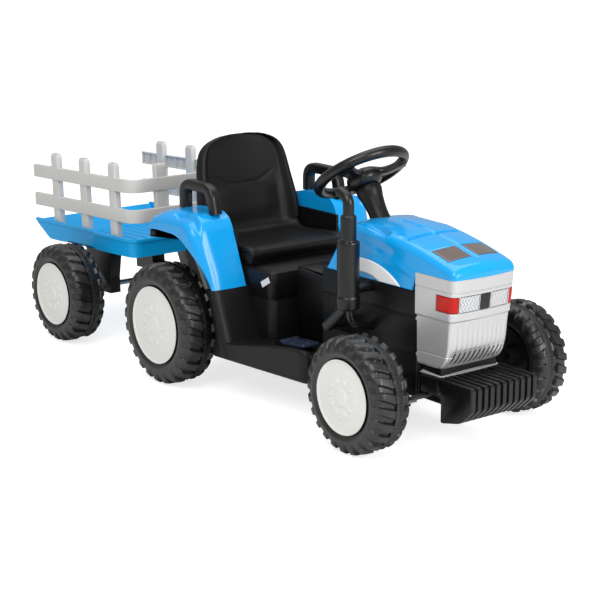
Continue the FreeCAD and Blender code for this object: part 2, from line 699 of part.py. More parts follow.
def make_steering():
    """Wheel with three spokes, horn button, and the shaft with its crank, along the column."""
    ring_radius = s.wheel_ring - s.wheel_tube
    ring = document.addObject("Part::Torus", "Ring")
    bind(ring, Radius1=ring_radius, Radius2=s.wheel_tube)
    hub = rod(s.hub_radius, s.hub_depth, (0, 0, -s.hub_depth))
    spokes = []
    for turn in SPOKE_TURNS:
        spoke = block((0, -s.spoke_width / 2, -s.spoke_thickness), (ring_radius, s.spoke_width / 2, 0))
        spokes.append(place(wrapped(spoke), (0, 0, 0), (0, 0, 1), turn))
    socket = rod(s.shaft_radius, s.hub_depth, (0, 0, -s.hub_depth - s.horn_height))
    pocket_depth = s.horn_height - s.horn_proud + s.horn_travel
    pocket = rod(s.horn_radius + s.fit, pocket_depth + s.overrun, (0, 0, -pocket_depth))
    wheel = cut(fuse(ring, hub, *spokes), pocket, socket)
    keep("steering_wheel", column_placed(wheel))
    horn = rod(s.horn_radius, s.horn_height, (0, 0, s.horn_proud - s.horn_height))
    keep("horn_button", column_placed(wrapped(horn)))
    shaft = rod(s.shaft_radius, s.shaft_length - s.horn_height, (0, 0, -s.shaft_length))
    arm = block((-s.shaft_radius, -s.shaft_radius, -s.shaft_length - s.crank_thickness),
                (s.crank_length + s.link_pin_radius, s.shaft_radius, -s.shaft_length))
    pin_drop = s.wheel_high + s.crank_length * sine(s.column_tilt) - tie_rod_low + s.crank_pin_below
    pin_reach = pin_drop / cosine(s.column_tilt)
    pin = rod(s.link_pin_radius, pin_reach - s.shaft_length, (s.crank_length, 0, -pin_reach))
    keep("steering_shaft", column_placed(fuse(shaft, arm, pin)))


SPOKE_TURNS = (60, 180, 300)


def bonnet_section(x, half_foot, half_shoulder, foot, shoulder, crown, radius):
    """One cross section: upright sides, rounded shoulders and a crowned top."""
    corner = radius * (1 - math.sqrt(0.5))
    points = {}
    for side in (-1, 1):
        points[side] = (Vector(x, side * half_foot, foot),
                        Vector(x, side * half_shoulder, shoulder - radius),
                        Vector(x, side * (half_shoulder - corner), shoulder - corner),
                        Vector(x, side * (half_shoulder - radius), shoulder))
    right, left = points[-1], points[1]
    edges = [Part.LineSegment(right[0], right[1]), Part.Arc(right[1], right[2], right[3]),
             Part.Arc(right[3], Vector(x, 0, crown), left[3]), Part.Arc(left[3], left[2], left[1]),
             Part.LineSegment(left[1], left[0]), Part.LineSegment(left[0], right[0])]
    return Part.Wire([edge.toShape() for edge in edges])


# Along the bonnet: share of its length from the back, and share of its height at the shoulder
BONNET_LINE_SHARES = ((0.0, 0.79), (0.25, 0.97), (0.45, 1.0), (0.6, 0.95),
                      (0.76, 0.80), (0.93, 0.59), (1.0, 0.46))


def bonnet_solid(inset, foot):
    """The bonnet as a closed loft, drawn in on all sides by an inset."""
    length = s.bonnet_front + s.bonnet_back
    height = s.bonnet_peak - s.nose_top
    sections = []
    for along_share, height_share in BONNET_LINE_SHARES:
        x = front_axle - s.bonnet_back + length * along_share
        if along_share == BONNET_LINE_SHARES[-1][0]:
            x = x - inset
        half_foot = s.bonnet_half_back + (s.bonnet_half_front - s.bonnet_half_back) * along_share - inset
        half_shoulder = half_foot - s.bonnet_lean * (1 - along_share * BONNET_LEAN_SHARE)
        shoulder = s.nose_top + height * height_share - inset
        sections.append(bonnet_section(float(x), float(half_foot), float(half_shoulder), float(foot),
                                       float(shoulder), float(shoulder + s.bonnet_crown),
                                       float(s.bonnet_shoulder)))
    return Part.makeLoft(sections, True, False)


BONNET_LEAN_SHARE = 0.7


def shaped(name, shape):
    """A document object for a shape worked out from the sheet's sizes."""
    feature = document.addObject("Part::Feature", name)
    feature.Shape = shape
    return feature


def dash_slab(start, thickness):
    """A slab parallel to the slanted back edge of the bonnet, from a depth ahead of that edge."""
    low = Vector(float(front_axle - s.bonnet_rake_low), 0, float(s.nose_top))
    high = Vector(float(front_axle - s.bonnet_rake_high), 0, float(s.bonnet_peak))
    along = (high - low).normalize()
    normal = Vector(along.z, 0, -along.x)
    reach = float(s.bonnet_peak)
    half = float(s.bonnet_half_back) * 2
    corner = low - along * reach + normal * float(start) + Vector(0, -half, 0)
    across = Vector(0, half * 2, 0)
    far = corner + along * reach * 3
    rim_line = Part.makePolygon([corner, far, far + across, corner + across, corner])
    return Part.Face(rim_line).extrude(normal * float(thickness))


def make_bonnet():
    """The shell over the nose, open below and at its slanted back, and the dash panel in it."""
    outer = bonnet_solid(0, s.nose_top)
    inner = bonnet_solid(s.wall, s.nose_top - s.overrun)
    behind = dash_slab(-s.bonnet_back, s.bonnet_back)
    grille_room = block((front_axle + s.nose_step, -s.bonnet_half_back, s.body_bottom),
                        (front_axle + s.front_overhang, s.bonnet_half_back, s.grille_top))
    shell = outer.cut(inner).cut(behind)
    shaft_hole = column_placed(wrapped(
        rod(s.shroud_neck - s.wall, s.shaft_length, (0, 0, -s.shaft_length))))
    keep("bonnet", cut(shaped("BonnetShell", shell), grille_room, shaft_hole))
    panel = bonnet_solid(s.wall + s.seat_gap, s.nose_top - s.overrun).common(
        dash_slab(s.dash_inset, s.dash_thickness))
    below = block((front_axle - s.bonnet_back, -s.bonnet_half_back, s.body_bottom),
                  (front_axle, s.bonnet_half_back, s.nose_top + s.seat_gap))
    keep("dash_panel", cut(shaped("DashPlate", panel), shaft_hole, below, *dash_openings()))
    shroud_profile = ((s.shaft_radius + s.fit, -s.shroud_top - s.shroud_length),
                      (s.shroud_flare, -s.shroud_top - s.shroud_length),
                      (s.shroud_neck, -s.shroud_top - s.shroud_length * SHROUD_WAIST_SHARE),
                      (s.shroud_neck, -s.shroud_top), (s.shaft_radius + s.fit, -s.shroud_top))
    seat = bonnet_solid(-s.seat_gap, s.nose_top).cut(dash_slab(-s.bonnet_back, s.bonnet_back - s.seat_gap))
    shroud = cut(column_placed(turned(shroud_profile)), shaped("ShroudSeat", seat))
    keep("column_shroud", shroud)


SHROUD_WAIST_SHARE = 0.35


def dash_placed(piece, y, drop):
    """Put a piece made about the Z axis onto the dash face, Z towards the driver."""
    run_x = s.bonnet_rake_low - s.bonnet_rake_high
    run_z = s.bonnet_peak - s.nose_top
    slope = math.degrees(math.atan2(run_x, run_z))
    length = math.hypot(run_x, run_z)
    share = 1 - drop / length
    normal_x = run_z / length
    normal_z = -run_x / length
    x = front_axle - s.bonnet_rake_low + run_x * share + s.dash_inset * normal_x
    z = s.nose_top + run_z * share + s.dash_inset * normal_z
    return place(piece, (x, y, z), (0, 1, 0), slope - 90)


def rocker_pin(grow):
    """The pin the rocker tilts on, or its hole, across the rocker at half the dash thickness."""
    reach = s.rocker_width / 2 + s.rocker_pin_reach + grow
    return rod(s.rocker_pin_radius + grow, reach * 2, (-reach, 0, -s.dash_thickness / 2), "x")


def dash_openings():
    """The round hole of the power button and the slot of the rocker with its pin hole."""
    button_hole = rod(s.button_radius + s.fit, s.dash_thickness * 4, (0, 0, -s.dash_thickness * 2))
    half_x = s.rocker_width / 2 + s.running_gap
    half_y = s.rocker_length / 2 + s.rocker_gap
    rocker_slot = block((-half_x, -half_y, -s.dash_thickness * 2), (half_x, half_y, s.dash_thickness * 2))
    rocker_hole = fuse(rocker_slot, rocker_pin(s.fit))
    return (dash_placed(wrapped(button_hole), -s.button_line, s.switch_drop),
            dash_placed(rocker_hole, s.button_line, s.switch_drop))


def make_switches():
    """The power button and the direction rocker in the dash."""
    button = rod(s.button_radius, s.button_height, (0, 0, s.button_proud - s.button_height))
    keep("power_button", dash_placed(wrapped(button), -s.button_line, s.switch_drop))
    half_x = s.rocker_width / 2
    half_y = s.rocker_length / 2
    rocker = block((-half_x, -half_y, s.button_proud - s.rocker_depth), (half_x, half_y, s.button_proud))
    keep("direction_rocker",
         dash_placed(fuse(rocker, rocker_pin(0)), s.button_line, s.switch_drop))


def grille_frustum(inset, bottom, top):
    """The grille's raked box between two heights, drawn in by an inset, running past its back."""
    rise = s.grille_top - s.grille_bottom
    wires = []
    for z in (bottom, top):
        share = (z - s.grille_bottom) / rise
        front = front_axle + s.grille_front_low + (s.bonnet_front - s.grille_front_low) * share - inset
        half = s.grille_half_low + (s.grille_half_top - s.grille_half_low) * share - inset
        back = front_axle + s.nose_step - (inset and s.overrun)
        corners = [Vector(float(x), float(y), float(z)) for x, y in
                   ((back, -half), (front, -half), (front, half), (back, half))]
        wires.append(Part.makePolygon(corners + corners[:1]))
    return Part.makeLoft(wires, True, True)


def make_grille():
    """A silver wrap-round shell with lamp seats and a row of slots, and the lenses in the seats."""
    shell = grille_frustum(0, s.grille_bottom, s.grille_top).cut(
        grille_frustum(s.wall, s.grille_bottom - s.overrun, s.grille_top + s.overrun))
    lamp_top = s.lamp_bottom + s.lamp_height
    lamp_band = grille_frustum(0, s.lamp_bottom, lamp_top).cut(
        grille_frustum(s.lamp_depth, s.lamp_bottom - s.overrun, lamp_top + s.overrun))
    band = shaped("LampBand", lamp_band)
    front_room = front_axle + s.front_overhang
    head_zones = []
    corner_zones = []
    for side in (-1, 1):
        spans = sorted((side * s.lamp_inner, side * s.lamp_outer))
        head_zones.append(block((front_axle + s.nose_front, spans[0], s.lamp_bottom),
                                (front_room, spans[1], lamp_top)))
        spans = sorted((side * s.corner_lamp_inner, side * s.bonnet_half_back))
        corner_back = front_axle + s.bonnet_front - s.corner_lamp_length
        corner_zones.append(block((corner_back, spans[0], s.lamp_bottom), (front_room, spans[1], lamp_top)))
    head = common(band, fuse(*head_zones))
    corner = common(band, fuse(*corner_zones))
    slots = []
    for step in range(-SLOTS_EACH_SIDE, SLOTS_EACH_SIDE + 1):
        middle = step * s.slot_pitch
        slots.append(block((front_axle + s.nose_front, middle - s.slot_width / 2, s.slot_bottom),
                           (front_room, middle + s.slot_width / 2, s.slot_bottom + s.slot_height)))
    keep("front_grille", cut(shaped("GrilleShell", shell), head, corner, *slots))
    keep("headlamp_lenses", head)
    keep("corner_lamps", corner)


SLOTS_EACH_SIDE = 4


def weight_outline(inset):
    """Side view of the front weight, its outer faces drawn in by an inset."""
    nose = front_axle + s.front_overhang - inset
    back = front_axle + s.weight_back
    hang = front_axle + s.nose_front
    top = s.weight_top - inset
    return ((hang, s.weight_shelf), (back, s.weight_shelf), (back, s.weight_bottom + inset),
            (front_axle + s.weight_chin - inset, s.weight_chin_high + inset),
            (nose, s.weight_lip + inset / 2), (nose, top), (hang, top))


def make_front_weight():
    """A row of weight plates on a common core, hung on the front of the nose."""
    core = prism("XZ_Plane", s.weight_half * 2, weight_outline(s.rib_depth), centred=True)
    plates = [core]
    pitch = (s.weight_half * 2 - s.rib_width) / (WEIGHT_PLATES - 1)
    for step in range(WEIGHT_PLATES):
        plate = prism("XZ_Plane", s.rib_width, weight_outline(Size(0, "0")))
        plates.append(place(plate, (0, pitch * step - s.weight_half, 0)))
    keep("front_weight", fuse(*plates))


WEIGHT_PLATES = 11


def nose_plan(inset):
    """The nose seen from above, drawn in by an inset."""
    back = front_axle - s.nose_back + inset
    step = front_axle + s.nose_step - inset
    front = front_axle + s.nose_front - inset
    right = ((back, s.nose_half_back - inset), (step, s.nose_half_step - inset),
             (step, s.nose_half_front - inset), (front, s.nose_half_front - inset))
    return tuple((x, -y) for x, y in right) + tuple(reversed(right))


def floor_plan(inset):
    """The footboards seen from above, drawn in by an inset."""
    back = rear_axle + s.pillar_back + inset
    front = front_axle - s.floor_front - inset
    half_back = s.floor_half_back - inset
    half_front = s.floor_half_front - inset
    return ((back, -half_back), (front, -half_front), (front, half_front), (back, half_back))


def pillar_outline(inset):
    """The pillar in front of a rear wheel, seen from the side, open below."""
    foot = s.body_bottom - (inset and s.overrun)
    top = s.pillar_top - inset
    return ((rear_axle + s.pillar_back + inset, foot), (rear_axle + s.pillar_toe - inset, foot),
            (rear_axle + s.pillar_head - inset, top), (rear_axle + s.pillar_back_top + inset, top),
            (rear_axle + s.pillar_back + inset, s.rear_radius))


def body_solids(inset):
    """The closed blocks that make up the lower body, drawn in by an inset below the same tops."""
    low = s.body_bottom - (inset and s.overrun)
    nose = place(prism("XY_Plane", s.nose_top - inset - low, nose_plan(inset)), (0, 0, low))
    floor = place(prism("XY_Plane", s.floor_top - inset - low, floor_plan(inset)), (0, 0, low))
    seat_box = block((rear_axle - s.box_back + inset, -s.box_half + inset, low),
                     (rear_axle + s.box_front - inset, s.box_half - inset, s.box_top - inset))
    tunnel_front = front_axle - s.nose_back + s.overrun + inset
    tunnel = block((rear_axle + s.box_front - s.overrun - inset, -s.tunnel_half + inset, low),
                   (tunnel_front, s.tunnel_half - inset, s.tunnel_top - inset))
    pillars = []
    for side in (-1, 1):
        inner = s.box_half - s.wall + (inset and s.wall + inset)
        depth = s.fender_face - inset - inner
        start = inner if side > 0 else -inner - depth
        pillars.append(place(prism("XZ_Plane", depth, pillar_outline(inset)), (0, start, 0)))
    return [nose, floor, seat_box, tunnel] + pillars


def arch_walls():
    """An upright wall on each side of the seat, from the seat box up to the fender."""
    inner = s.box_half
    outer = s.fender_inner - s.seat_gap
    walls = []
    for side in (-1, 1):
        spans = sorted((inner * side, outer * side))
        walls.append(block((rear_axle - s.fender_back, spans[0], s.arch_wall_low),
                           (rear_axle + s.pillar_back_top, spans[1], s.fender_arch)))
    return walls


def make_body():
    """The black lower body: one thin-walled moulding, open below, with its holes."""
    shell = cut(fuse(*body_solids(Size(0, "0"))), *body_solids(s.wall))
    half_x = s.beam_length_x / 2 + s.seat_gap
    axle_top = s.front_radius + s.beam_height / 2
    span = s.floor_half_back * 2
    axle_notch = block((front_axle - half_x, -span / 2, s.body_bottom - s.overrun),
                       (front_axle + half_x, span / 2, axle_top + s.seat_gap))
    tie_x = front_axle + s.steer_arm
    tie_half = s.crank_slot / 2 + s.tie_rim + s.overrun
    tie_notch = block((tie_x - tie_half, -span / 2, s.body_bottom - s.overrun),
                      (front_axle + s.nose_front - s.wall, span / 2, axle_top))
    axle_hole = rod(s.axle_radius + s.fit, span, (rear_axle, -span / 2, s.rear_radius), "y")
    motor_hole = rod(s.motor_radius + s.running_gap, span, (motor_x, -span / 2, motor_z), "y")
    shaft_hole = column_placed(wrapped(rod(s.shaft_radius + s.fit, s.shaft_length, (0, 0, -s.shaft_length))))
    hatch_front = rear_axle + s.battery_front + (s.hatch_length - s.battery_width) / 2
    hatch = block((hatch_front - s.hatch_length, -s.hatch_half, s.box_top - s.wall - s.overrun),
                  (hatch_front, s.hatch_half, s.box_top + s.overrun))
    holes = (axle_notch, tie_notch, axle_hole, motor_hole, shaft_hole, hatch)
    keep("lower_body", cut(fuse(shell, *arch_walls()), *holes))


def fender_outline():
    """A fender seen from the side: tail, top, slanted apron and the arch over the wheel."""
    tail = rear_axle - s.fender_back
    crest = rear_axle + s.fender_crest
    toe = rear_axle + s.pillar_head
    arch_front = toe - (s.fender_arch - s.pillar_top) * APRON_SLOPE_SHARE - s.fender_apron
    return ((tail, s.fender_tail_low), (tail, s.fender_tail_high),
            (tail + s.fender_back * TAIL_RISE_SHARE, s.fender_top), (crest, s.fender_top),
            (toe, s.pillar_top), (toe - s.fender_apron, s.pillar_top), (arch_front, s.fender_arch),
            (tail + s.wall, s.fender_arch), (tail + s.wall, s.fender_tail_low))


APRON_SLOPE_SHARE = 0.42
TAIL_RISE_SHARE = 0.6


def make_fenders():
    """A blue guard over each rear wheel: hollow from below, with an apron down to the pillar."""
    depth = s.fender_face - s.fender_inner
    guard = place(prism("XZ_Plane", depth, fender_outline()), (0, -s.fender_face, 0))
    hollow = block((rear_axle - s.fender_back + s.wall, -s.fender_face + s.wall, s.fender_tail_low),
                   (rear_axle + s.fender_crest - s.wall, -s.fender_inner - s.wall,
                    s.fender_tail_high - s.wall))
    both_sides("fender", cut(guard, hollow))


def make_handles():
    """Square-tube grab handles on the fender tops, their front leg slanted."""
    tube = s.handle_tube
    foot_back = rear_axle - s.handle_back
    foot_front = rear_axle + s.handle_front - tube
    low = s.fender_top
    top_front = rear_axle + s.handle_top_front
    outline = ((foot_back, low), (foot_back, s.handle_high), (top_front, s.handle_high),
               (foot_front, low), (foot_front - tube * HANDLE_SLANT_SHARE, low),
               (top_front - tube * HANDLE_SLANT_SHARE / 2, s.handle_high - tube),
               (foot_back + tube, s.handle_high - tube), (foot_back + tube, low))
    bar = place(prism("XZ_Plane", tube, outline), (0, -s.handle_line - tube / 2, 0))
    both_sides("grab_handle", bar)


HANDLE_SLANT_SHARE = 1.2

# Seat back: share of its height, share of its half width
SEAT_BACK_SHARES = ((0.0, 0.97), (0.3, 1.0), (0.6, 0.98), (0.8, 0.88), (0.92, 0.70), (1.0, 0.42))


def seat_slice(z, x_back, half, thick):
    """One level slice of the seat back: a dished front between rounded side bolsters."""
    bolster = thick / 2
    bulge = thick / 5
    back = x_back
    front = x_back + thick
    points = (Vector(back, -half + bolster, z), Vector(back - bulge, 0, z), Vector(back, half - bolster, z),
              Vector(back + bolster, half, z), Vector(front, half - bolster, z),
              Vector(front - bolster, 0, z), Vector(front, -half + bolster, z),
              Vector(back + bolster, -half, z))
    edges = (Part.Arc(points[0], points[1], points[2]), Part.LineSegment(points[2], points[3]),
             Part.LineSegment(points[3], points[4]), Part.Arc(points[4], points[5], points[6]),
             Part.LineSegment(points[6], points[7]), Part.LineSegment(points[7], points[0]))
    return Part.Wire([edge.toShape() for edge in edges])


def seat_back(inset):
    """The seat back as a loft of level slices, drawn in by an inset and then open at its foot."""
    foot = rear_axle - s.seat_back + inset
    slices = []
    for height_share, half_share in SEAT_BACK_SHARES:
        z = s.box_top + (s.seat_high - s.box_top - inset) * height_share
        if inset and not height_share:
            z = z - s.overrun
        lean = s.seat_lean * height_share
        thick = s.seat_thick * (1 - height_share * SEAT_TAPER_SHARE) - inset * 2
        slices.append(seat_slice(float(z), float(foot - lean), float(s.seat_half * half_share - inset),
                                 float(thick)))
    return Part.makeLoft(slices, True, False)


def make_seat():
    """The one-piece bucket seat: a hollow dished back with a domed top, and a crowned cushion."""
    foot = rear_axle - s.seat_back
    back = shaped("SeatBack", seat_back(0))
    half = s.seat_half * SEAT_BACK_SHARES[0][1]
    front = rear_axle + s.seat_front
    crest = s.cushion_high + s.cushion_crown
    lip = s.cushion_crown * 2
    cushion = prism("XZ_Plane", half * 2, (
        (foot + s.seat_thick / 2, s.box_top), (front - lip, s.box_top), (front, s.box_top + lip),
        (front, s.cushion_high - lip), (front - lip, s.cushion_high), (front - lip * 4, crest),
        (foot + s.seat_thick, s.cushion_high), (foot + s.seat_thick / 2, s.cushion_high)), centred=True)
    hollow = block((foot + s.seat_thick + s.wall, s.wall - half, s.box_top - s.overrun),
                   (front - lip - s.wall, half - s.wall, s.cushion_high - s.wall * 2))
    keep("seat", cut(fuse(back, cushion), shaped("SeatHollow", seat_back(s.wall)), hollow))


SEAT_TAPER_SHARE = 0.35


def make_exhaust():
    """The stack beside the bonnet: sleeves, a bent outlet, and the arms that hold it to the nose."""
    x = front_axle - s.stack_back
    y = -s.stack_side
    foot = rod(s.stack_ring, s.stack_ring_top - s.stack_foot, (x, y, s.stack_foot))
    muffler = rod(s.stack_muffler, s.stack_muffler_top - s.stack_ring_top, (x, y, s.stack_ring_top))
    sleeve = rod(s.stack_sleeve, s.stack_sleeve_top - s.stack_muffler_top, (x, y, s.stack_muffler_top))
    pipe = rod(s.stack_pipe, s.stack_top - s.stack_sleeve_top, (x, y, s.stack_sleeve_top))
    elbow = document.addObject("Part::Sphere", "Elbow")
    bind(elbow, Radius=s.stack_pipe)
    place(elbow, (x, y, s.stack_top))
    outlet = rod(s.stack_pipe, s.stack_outlet, (x - s.stack_outlet, y, s.stack_top), "x")
    nose_side = s.nose_half_step + (s.nose_half_back - s.nose_half_step) * (
        (s.stack_back + s.nose_step) / (s.nose_back + s.nose_step))
    arm = rod(s.stack_arm, s.stack_side - nose_side + s.wall, (x, y, s.stack_arm_high), "y")
    strut_run = math.hypot(s.strut_back, s.stack_foot - s.strut_low)
    strut_turn = math.degrees(math.atan2(s.strut_back, s.strut_low - s.stack_foot))
    strut = document.addObject("Part::Cylinder", "Strut")
    bind(strut, Radius=s.stack_arm, Height=strut_run)
    place(strut, (x, y, s.stack_foot + s.stack_arm), (0, 1, 0), -strut_turn)
    tie_z = s.strut_low + s.stack_arm
    tie = rod(s.stack_arm, s.stack_side - s.nose_half_step, (x - s.strut_back, y, tie_z), "y")
    whole = fuse(foot, muffler, sleeve, pipe, elbow, outlet, arm, strut, tie)
    room = place(prism("XY_Plane", s.nose_top, nose_plan(-s.seat_gap)), (0, 0, 0))
    keep("exhaust_stack", cut(whole, room))


def gear_outline(teeth, thinning):
    """Points of an involute gear outline: flanks from root to tip, tooth by tooth."""
    pitch = float(s.gear_module) * teeth / 2
    base = pitch * math.cos(math.radians(PRESSURE_ANGLE))
    tip = pitch + float(s.gear_module)
    root = pitch - float(s.gear_module) * DEDENDUM_SHARE
    half_tooth = math.pi / teeth / 2 - thinning / pitch / 2
    offset = math.tan(math.radians(PRESSURE_ANGLE)) - math.radians(PRESSURE_ANGLE)
    flank = []
    for step in range(FLANK_STEPS + 1):
        radius = max(base, root) + (tip - max(base, root)) * step / FLANK_STEPS
        roll = math.acos(min(1, base / radius))
        flank.append((radius, half_tooth + offset - (math.tan(roll) - roll)))
    points = []
    for tooth in range(teeth):
        middle = 2 * math.pi * tooth / teeth
        side = [(root, flank[0][1])] + flank
        for radius, angle in [(r, -a) for r, a in side] + list(reversed(side)):
            points.append(Vector(radius * math.cos(middle + angle), radius * math.sin(middle + angle)))
    return points


PRESSURE_ANGLE = 20
DEDENDUM_SHARE = 1.25
FLANK_STEPS = 4


def spur_gear(teeth, bore):
    """A straight-toothed gear, its lower face on the XY plane."""
    outline = gear_outline(teeth, float(s.backlash))
    wire = Part.makePolygon(outline + outline[:1])
    gear = Part.Face(wire).extrude(Vector(0, 0, float(s.gear_width)))
    through = float(s.gear_width + s.overrun * 2)
    return gear.cut(Part.makeCylinder(float(bore), through, Vector(0, 0, -float(s.overrun))))


def make_drive():
    """Gearbox, motor, pinion and output gear between the seat box and each rear wheel."""
    inner_face = s.box_half
    outer_face = s.box_half + s.gearbox_width
    gear_reach = pitch_radius + s.gear_module
    pinion_reach = pinion_pitch_radius + s.gear_module
    cavity = s.gearbox_clear
    shell = cavity + s.gearbox_wall
    room_depth = s.gearbox_width - s.gearbox_wall * 2

    def housing(grow, depth, start):
        round_gear = rod(gear_reach + grow, depth, (rear_axle, -start - depth, s.rear_radius), "y")
        round_pinion = rod(pinion_reach + grow, depth, (motor_x, -start - depth, motor_z), "y")
        bridge = block((0, -pinion_reach - grow, 0), (gear_distance, pinion_reach + grow, depth))
        link = wrapped(bridge)
        lift = FreeCAD.Rotation(Vector(0, 1, 0), -float(s.pinion_lift))
        tilt = lift * FreeCAD.Rotation(Vector(1, 0, 0), 90)
        link.Placement = FreeCAD.Placement(
            Vector(float(rear_axle), -float(start), float(s.rear_radius)), tilt)
        return fuse(round_gear, round_pinion, link)

    through = s.gearbox_width + s.overrun * 2
    axle_bore = rod(s.axle_radius + s.fit, through,
                    (rear_axle, -outer_face - s.overrun, s.rear_radius), "y")
    sleeve_bore = rod(s.sleeve_radius + s.running_gap, s.gearbox_wall + s.overrun * 2,
                      (rear_axle, -outer_face - s.overrun, s.rear_radius), "y")
    shaft_bore = rod(s.motor_shaft + s.running_gap, s.gearbox_wall + s.overrun * 2,
                     (motor_x, -inner_face - s.gearbox_wall - s.overrun, motor_z), "y")
    room = housing(cavity, room_depth, inner_face + s.gearbox_wall)
    box = cut(housing(shell, s.gearbox_width, inner_face), room, axle_bore, sleeve_bore, shaft_bore)
    both_sides("gearbox", box)

    can = rod(s.motor_radius, s.motor_length, (motor_x, -inner_face, motor_z), "y")
    tip = rod(s.motor_shaft, s.gearbox_width - s.gearbox_wall,
              (motor_x, s.gearbox_wall - outer_face, motor_z), "y")
    keep("drive_motors", pair_of(fuse(can, tip)))

    gear_start = inner_face + s.gearbox_wall + (room_depth - s.gear_width) / 2
    wheel_back = s.rear_track_face - s.tyre_width
    output = shaped("OutputTeeth", spur_gear(int(s.gear_teeth), s.axle_radius + s.fit))
    sleeve = cut(rod(s.sleeve_radius, wheel_back - gear_start - s.gear_width / 2, (0, 0, s.gear_width / 2)),
                 rod(s.axle_radius + s.fit, wheel_back, (0, 0, 0)))
    whole = fuse(output, sleeve)
    both_sides("output_gear", axle_placed(whole, rear_axle, -gear_start, s.rear_radius, -1))
    pinion = shaped("PinionTeeth", spur_gear(int(s.pinion_teeth), s.motor_shaft + s.fit))
    holder = wrapped(place(pinion, (0, 0, 0), (0, 0, 1), pinion_mesh_turn()))
    both_sides("motor_pinion", axle_placed(holder, motor_x, -gear_start, motor_z, -1))


def pinion_mesh_turn():
    """Turn that puts a pinion tooth space on the line of centres where the gear has a tooth."""
    gear_phase = float(s.pinion_lift) % (360 / float(s.gear_teeth))
    back = float(s.pinion_lift) + 180
    return back + 180 / float(s.pinion_teeth) + gear_phase * float(s.gear_teeth) / float(s.pinion_teeth)


def make_power():
    """Battery and control box on a tray inside the seat box."""
    inner = s.box_half - s.wall
    front = rear_axle + s.box_front - s.wall
    tray_low = s.tray_top - s.tray_thickness
    tray = block((rear_axle + s.tray_back, -inner, tray_low), (front, inner, s.tray_top))
    keep("battery_tray", wrapped(tray))
    battery_front = rear_axle + s.battery_front
    keep("battery", wrapped(block((battery_front - s.battery_width, -s.battery_length / 2, s.tray_top),
                               (battery_front, s.battery_length / 2, s.tray_top + s.battery_height))))
    control_back = battery_front + s.wall
    keep("control_box", wrapped(block((control_back, -s.control_length / 2, s.tray_top),
                                   (control_back + s.control_width, s.control_length / 2,
                                    s.tray_top + s.control_height))))


def make_pedal():
    """A sprung pedal plate on a pin between two floor lugs, and the cover of the charge socket."""
    heel = rear_axle + s.pedal_heel
    pin_z = s.floor_top + s.pedal_pin_high
    half = s.pedal_width / 2
    y = -s.pedal_line
    plate = block((0, -half, -s.pedal_thickness / 2), (s.pedal_length, half, s.pedal_thickness / 2))
    barrel = rod(s.pedal_pin_radius * 2, s.pedal_width, (0, -half, 0), "y")
    hole = rod(s.pedal_pin_radius + s.fit, s.pedal_width * 2, (0, -s.pedal_width, 0), "y")
    pedal = cut(fuse(plate, barrel), hole)
    keep("accelerator_pedal", place(pedal, (heel, y, pin_z), (0, 1, 0), -s.pedal_rise))
    lugs = []
    gap = half + s.running_gap
    for side in (-1, 1):
        start = y + side * gap + (s.lug_plate * (side - 1) / 2)
        lugs.append(block((heel - s.pedal_pin_radius * 2, start, s.floor_top),
                          (heel + s.pedal_pin_radius * 2, start + s.lug_plate,
                           pin_z + s.pedal_pin_radius * 2)))
    pin = rod(s.pedal_pin_radius, gap * 2 + s.lug_plate * 2, (heel, y - gap - s.lug_plate, pin_z), "y")
    keep("pedal_bracket", fuse(*lugs, pin))
    cover = block((-s.cover_width / 2, -s.cover_thickness, -s.cover_height / 2),
                  (s.cover_width / 2, 0, s.cover_height / 2))
    holder = wrapped(cover)
    keep("charge_cover", place(holder, (rear_axle + s.box_front - s.cover_front, -s.box_half, s.cover_high),
                               (0, 1, 0), s.cover_turn))


def trailer_placed(piece):
    """Put a piece made about the trailer axle onto the hitched, slightly nose-up trailer."""
    return place(piece, (trailer_axle, 0, s.front_radius), (0, 1, 0), -s.trailer_pitch)


def make_hitch():
    """The tow tongue behind the seat box and the pin that drops through it."""
    back = rear_axle - s.box_back
    low = s.tongue_high - s.tongue_thickness
    half = s.tongue_width / 2
    tongue = block((hitch_x, -half, low), (back, half, s.tongue_high))
    end = rod(half, s.tongue_thickness, (hitch_x, 0, low))
    hole = rod(s.hitch_radius, s.tongue_thickness + s.overrun * 2, (hitch_x, 0, low - s.overrun))
    keep("tow_tongue", cut(fuse(tongue, end), hole))
    head_z = s.tongue_high + s.drawbar_lift * 2 + s.drawbar_height + s.running_gap
    shank = rod(s.hitch_radius, head_z - low + s.overrun, (hitch_x, 0, low - s.overrun))
    head = rod(s.hitch_head, s.tongue_thickness, (hitch_x, 0, head_z))
    keep("hitch_pin", fuse(shank, head))


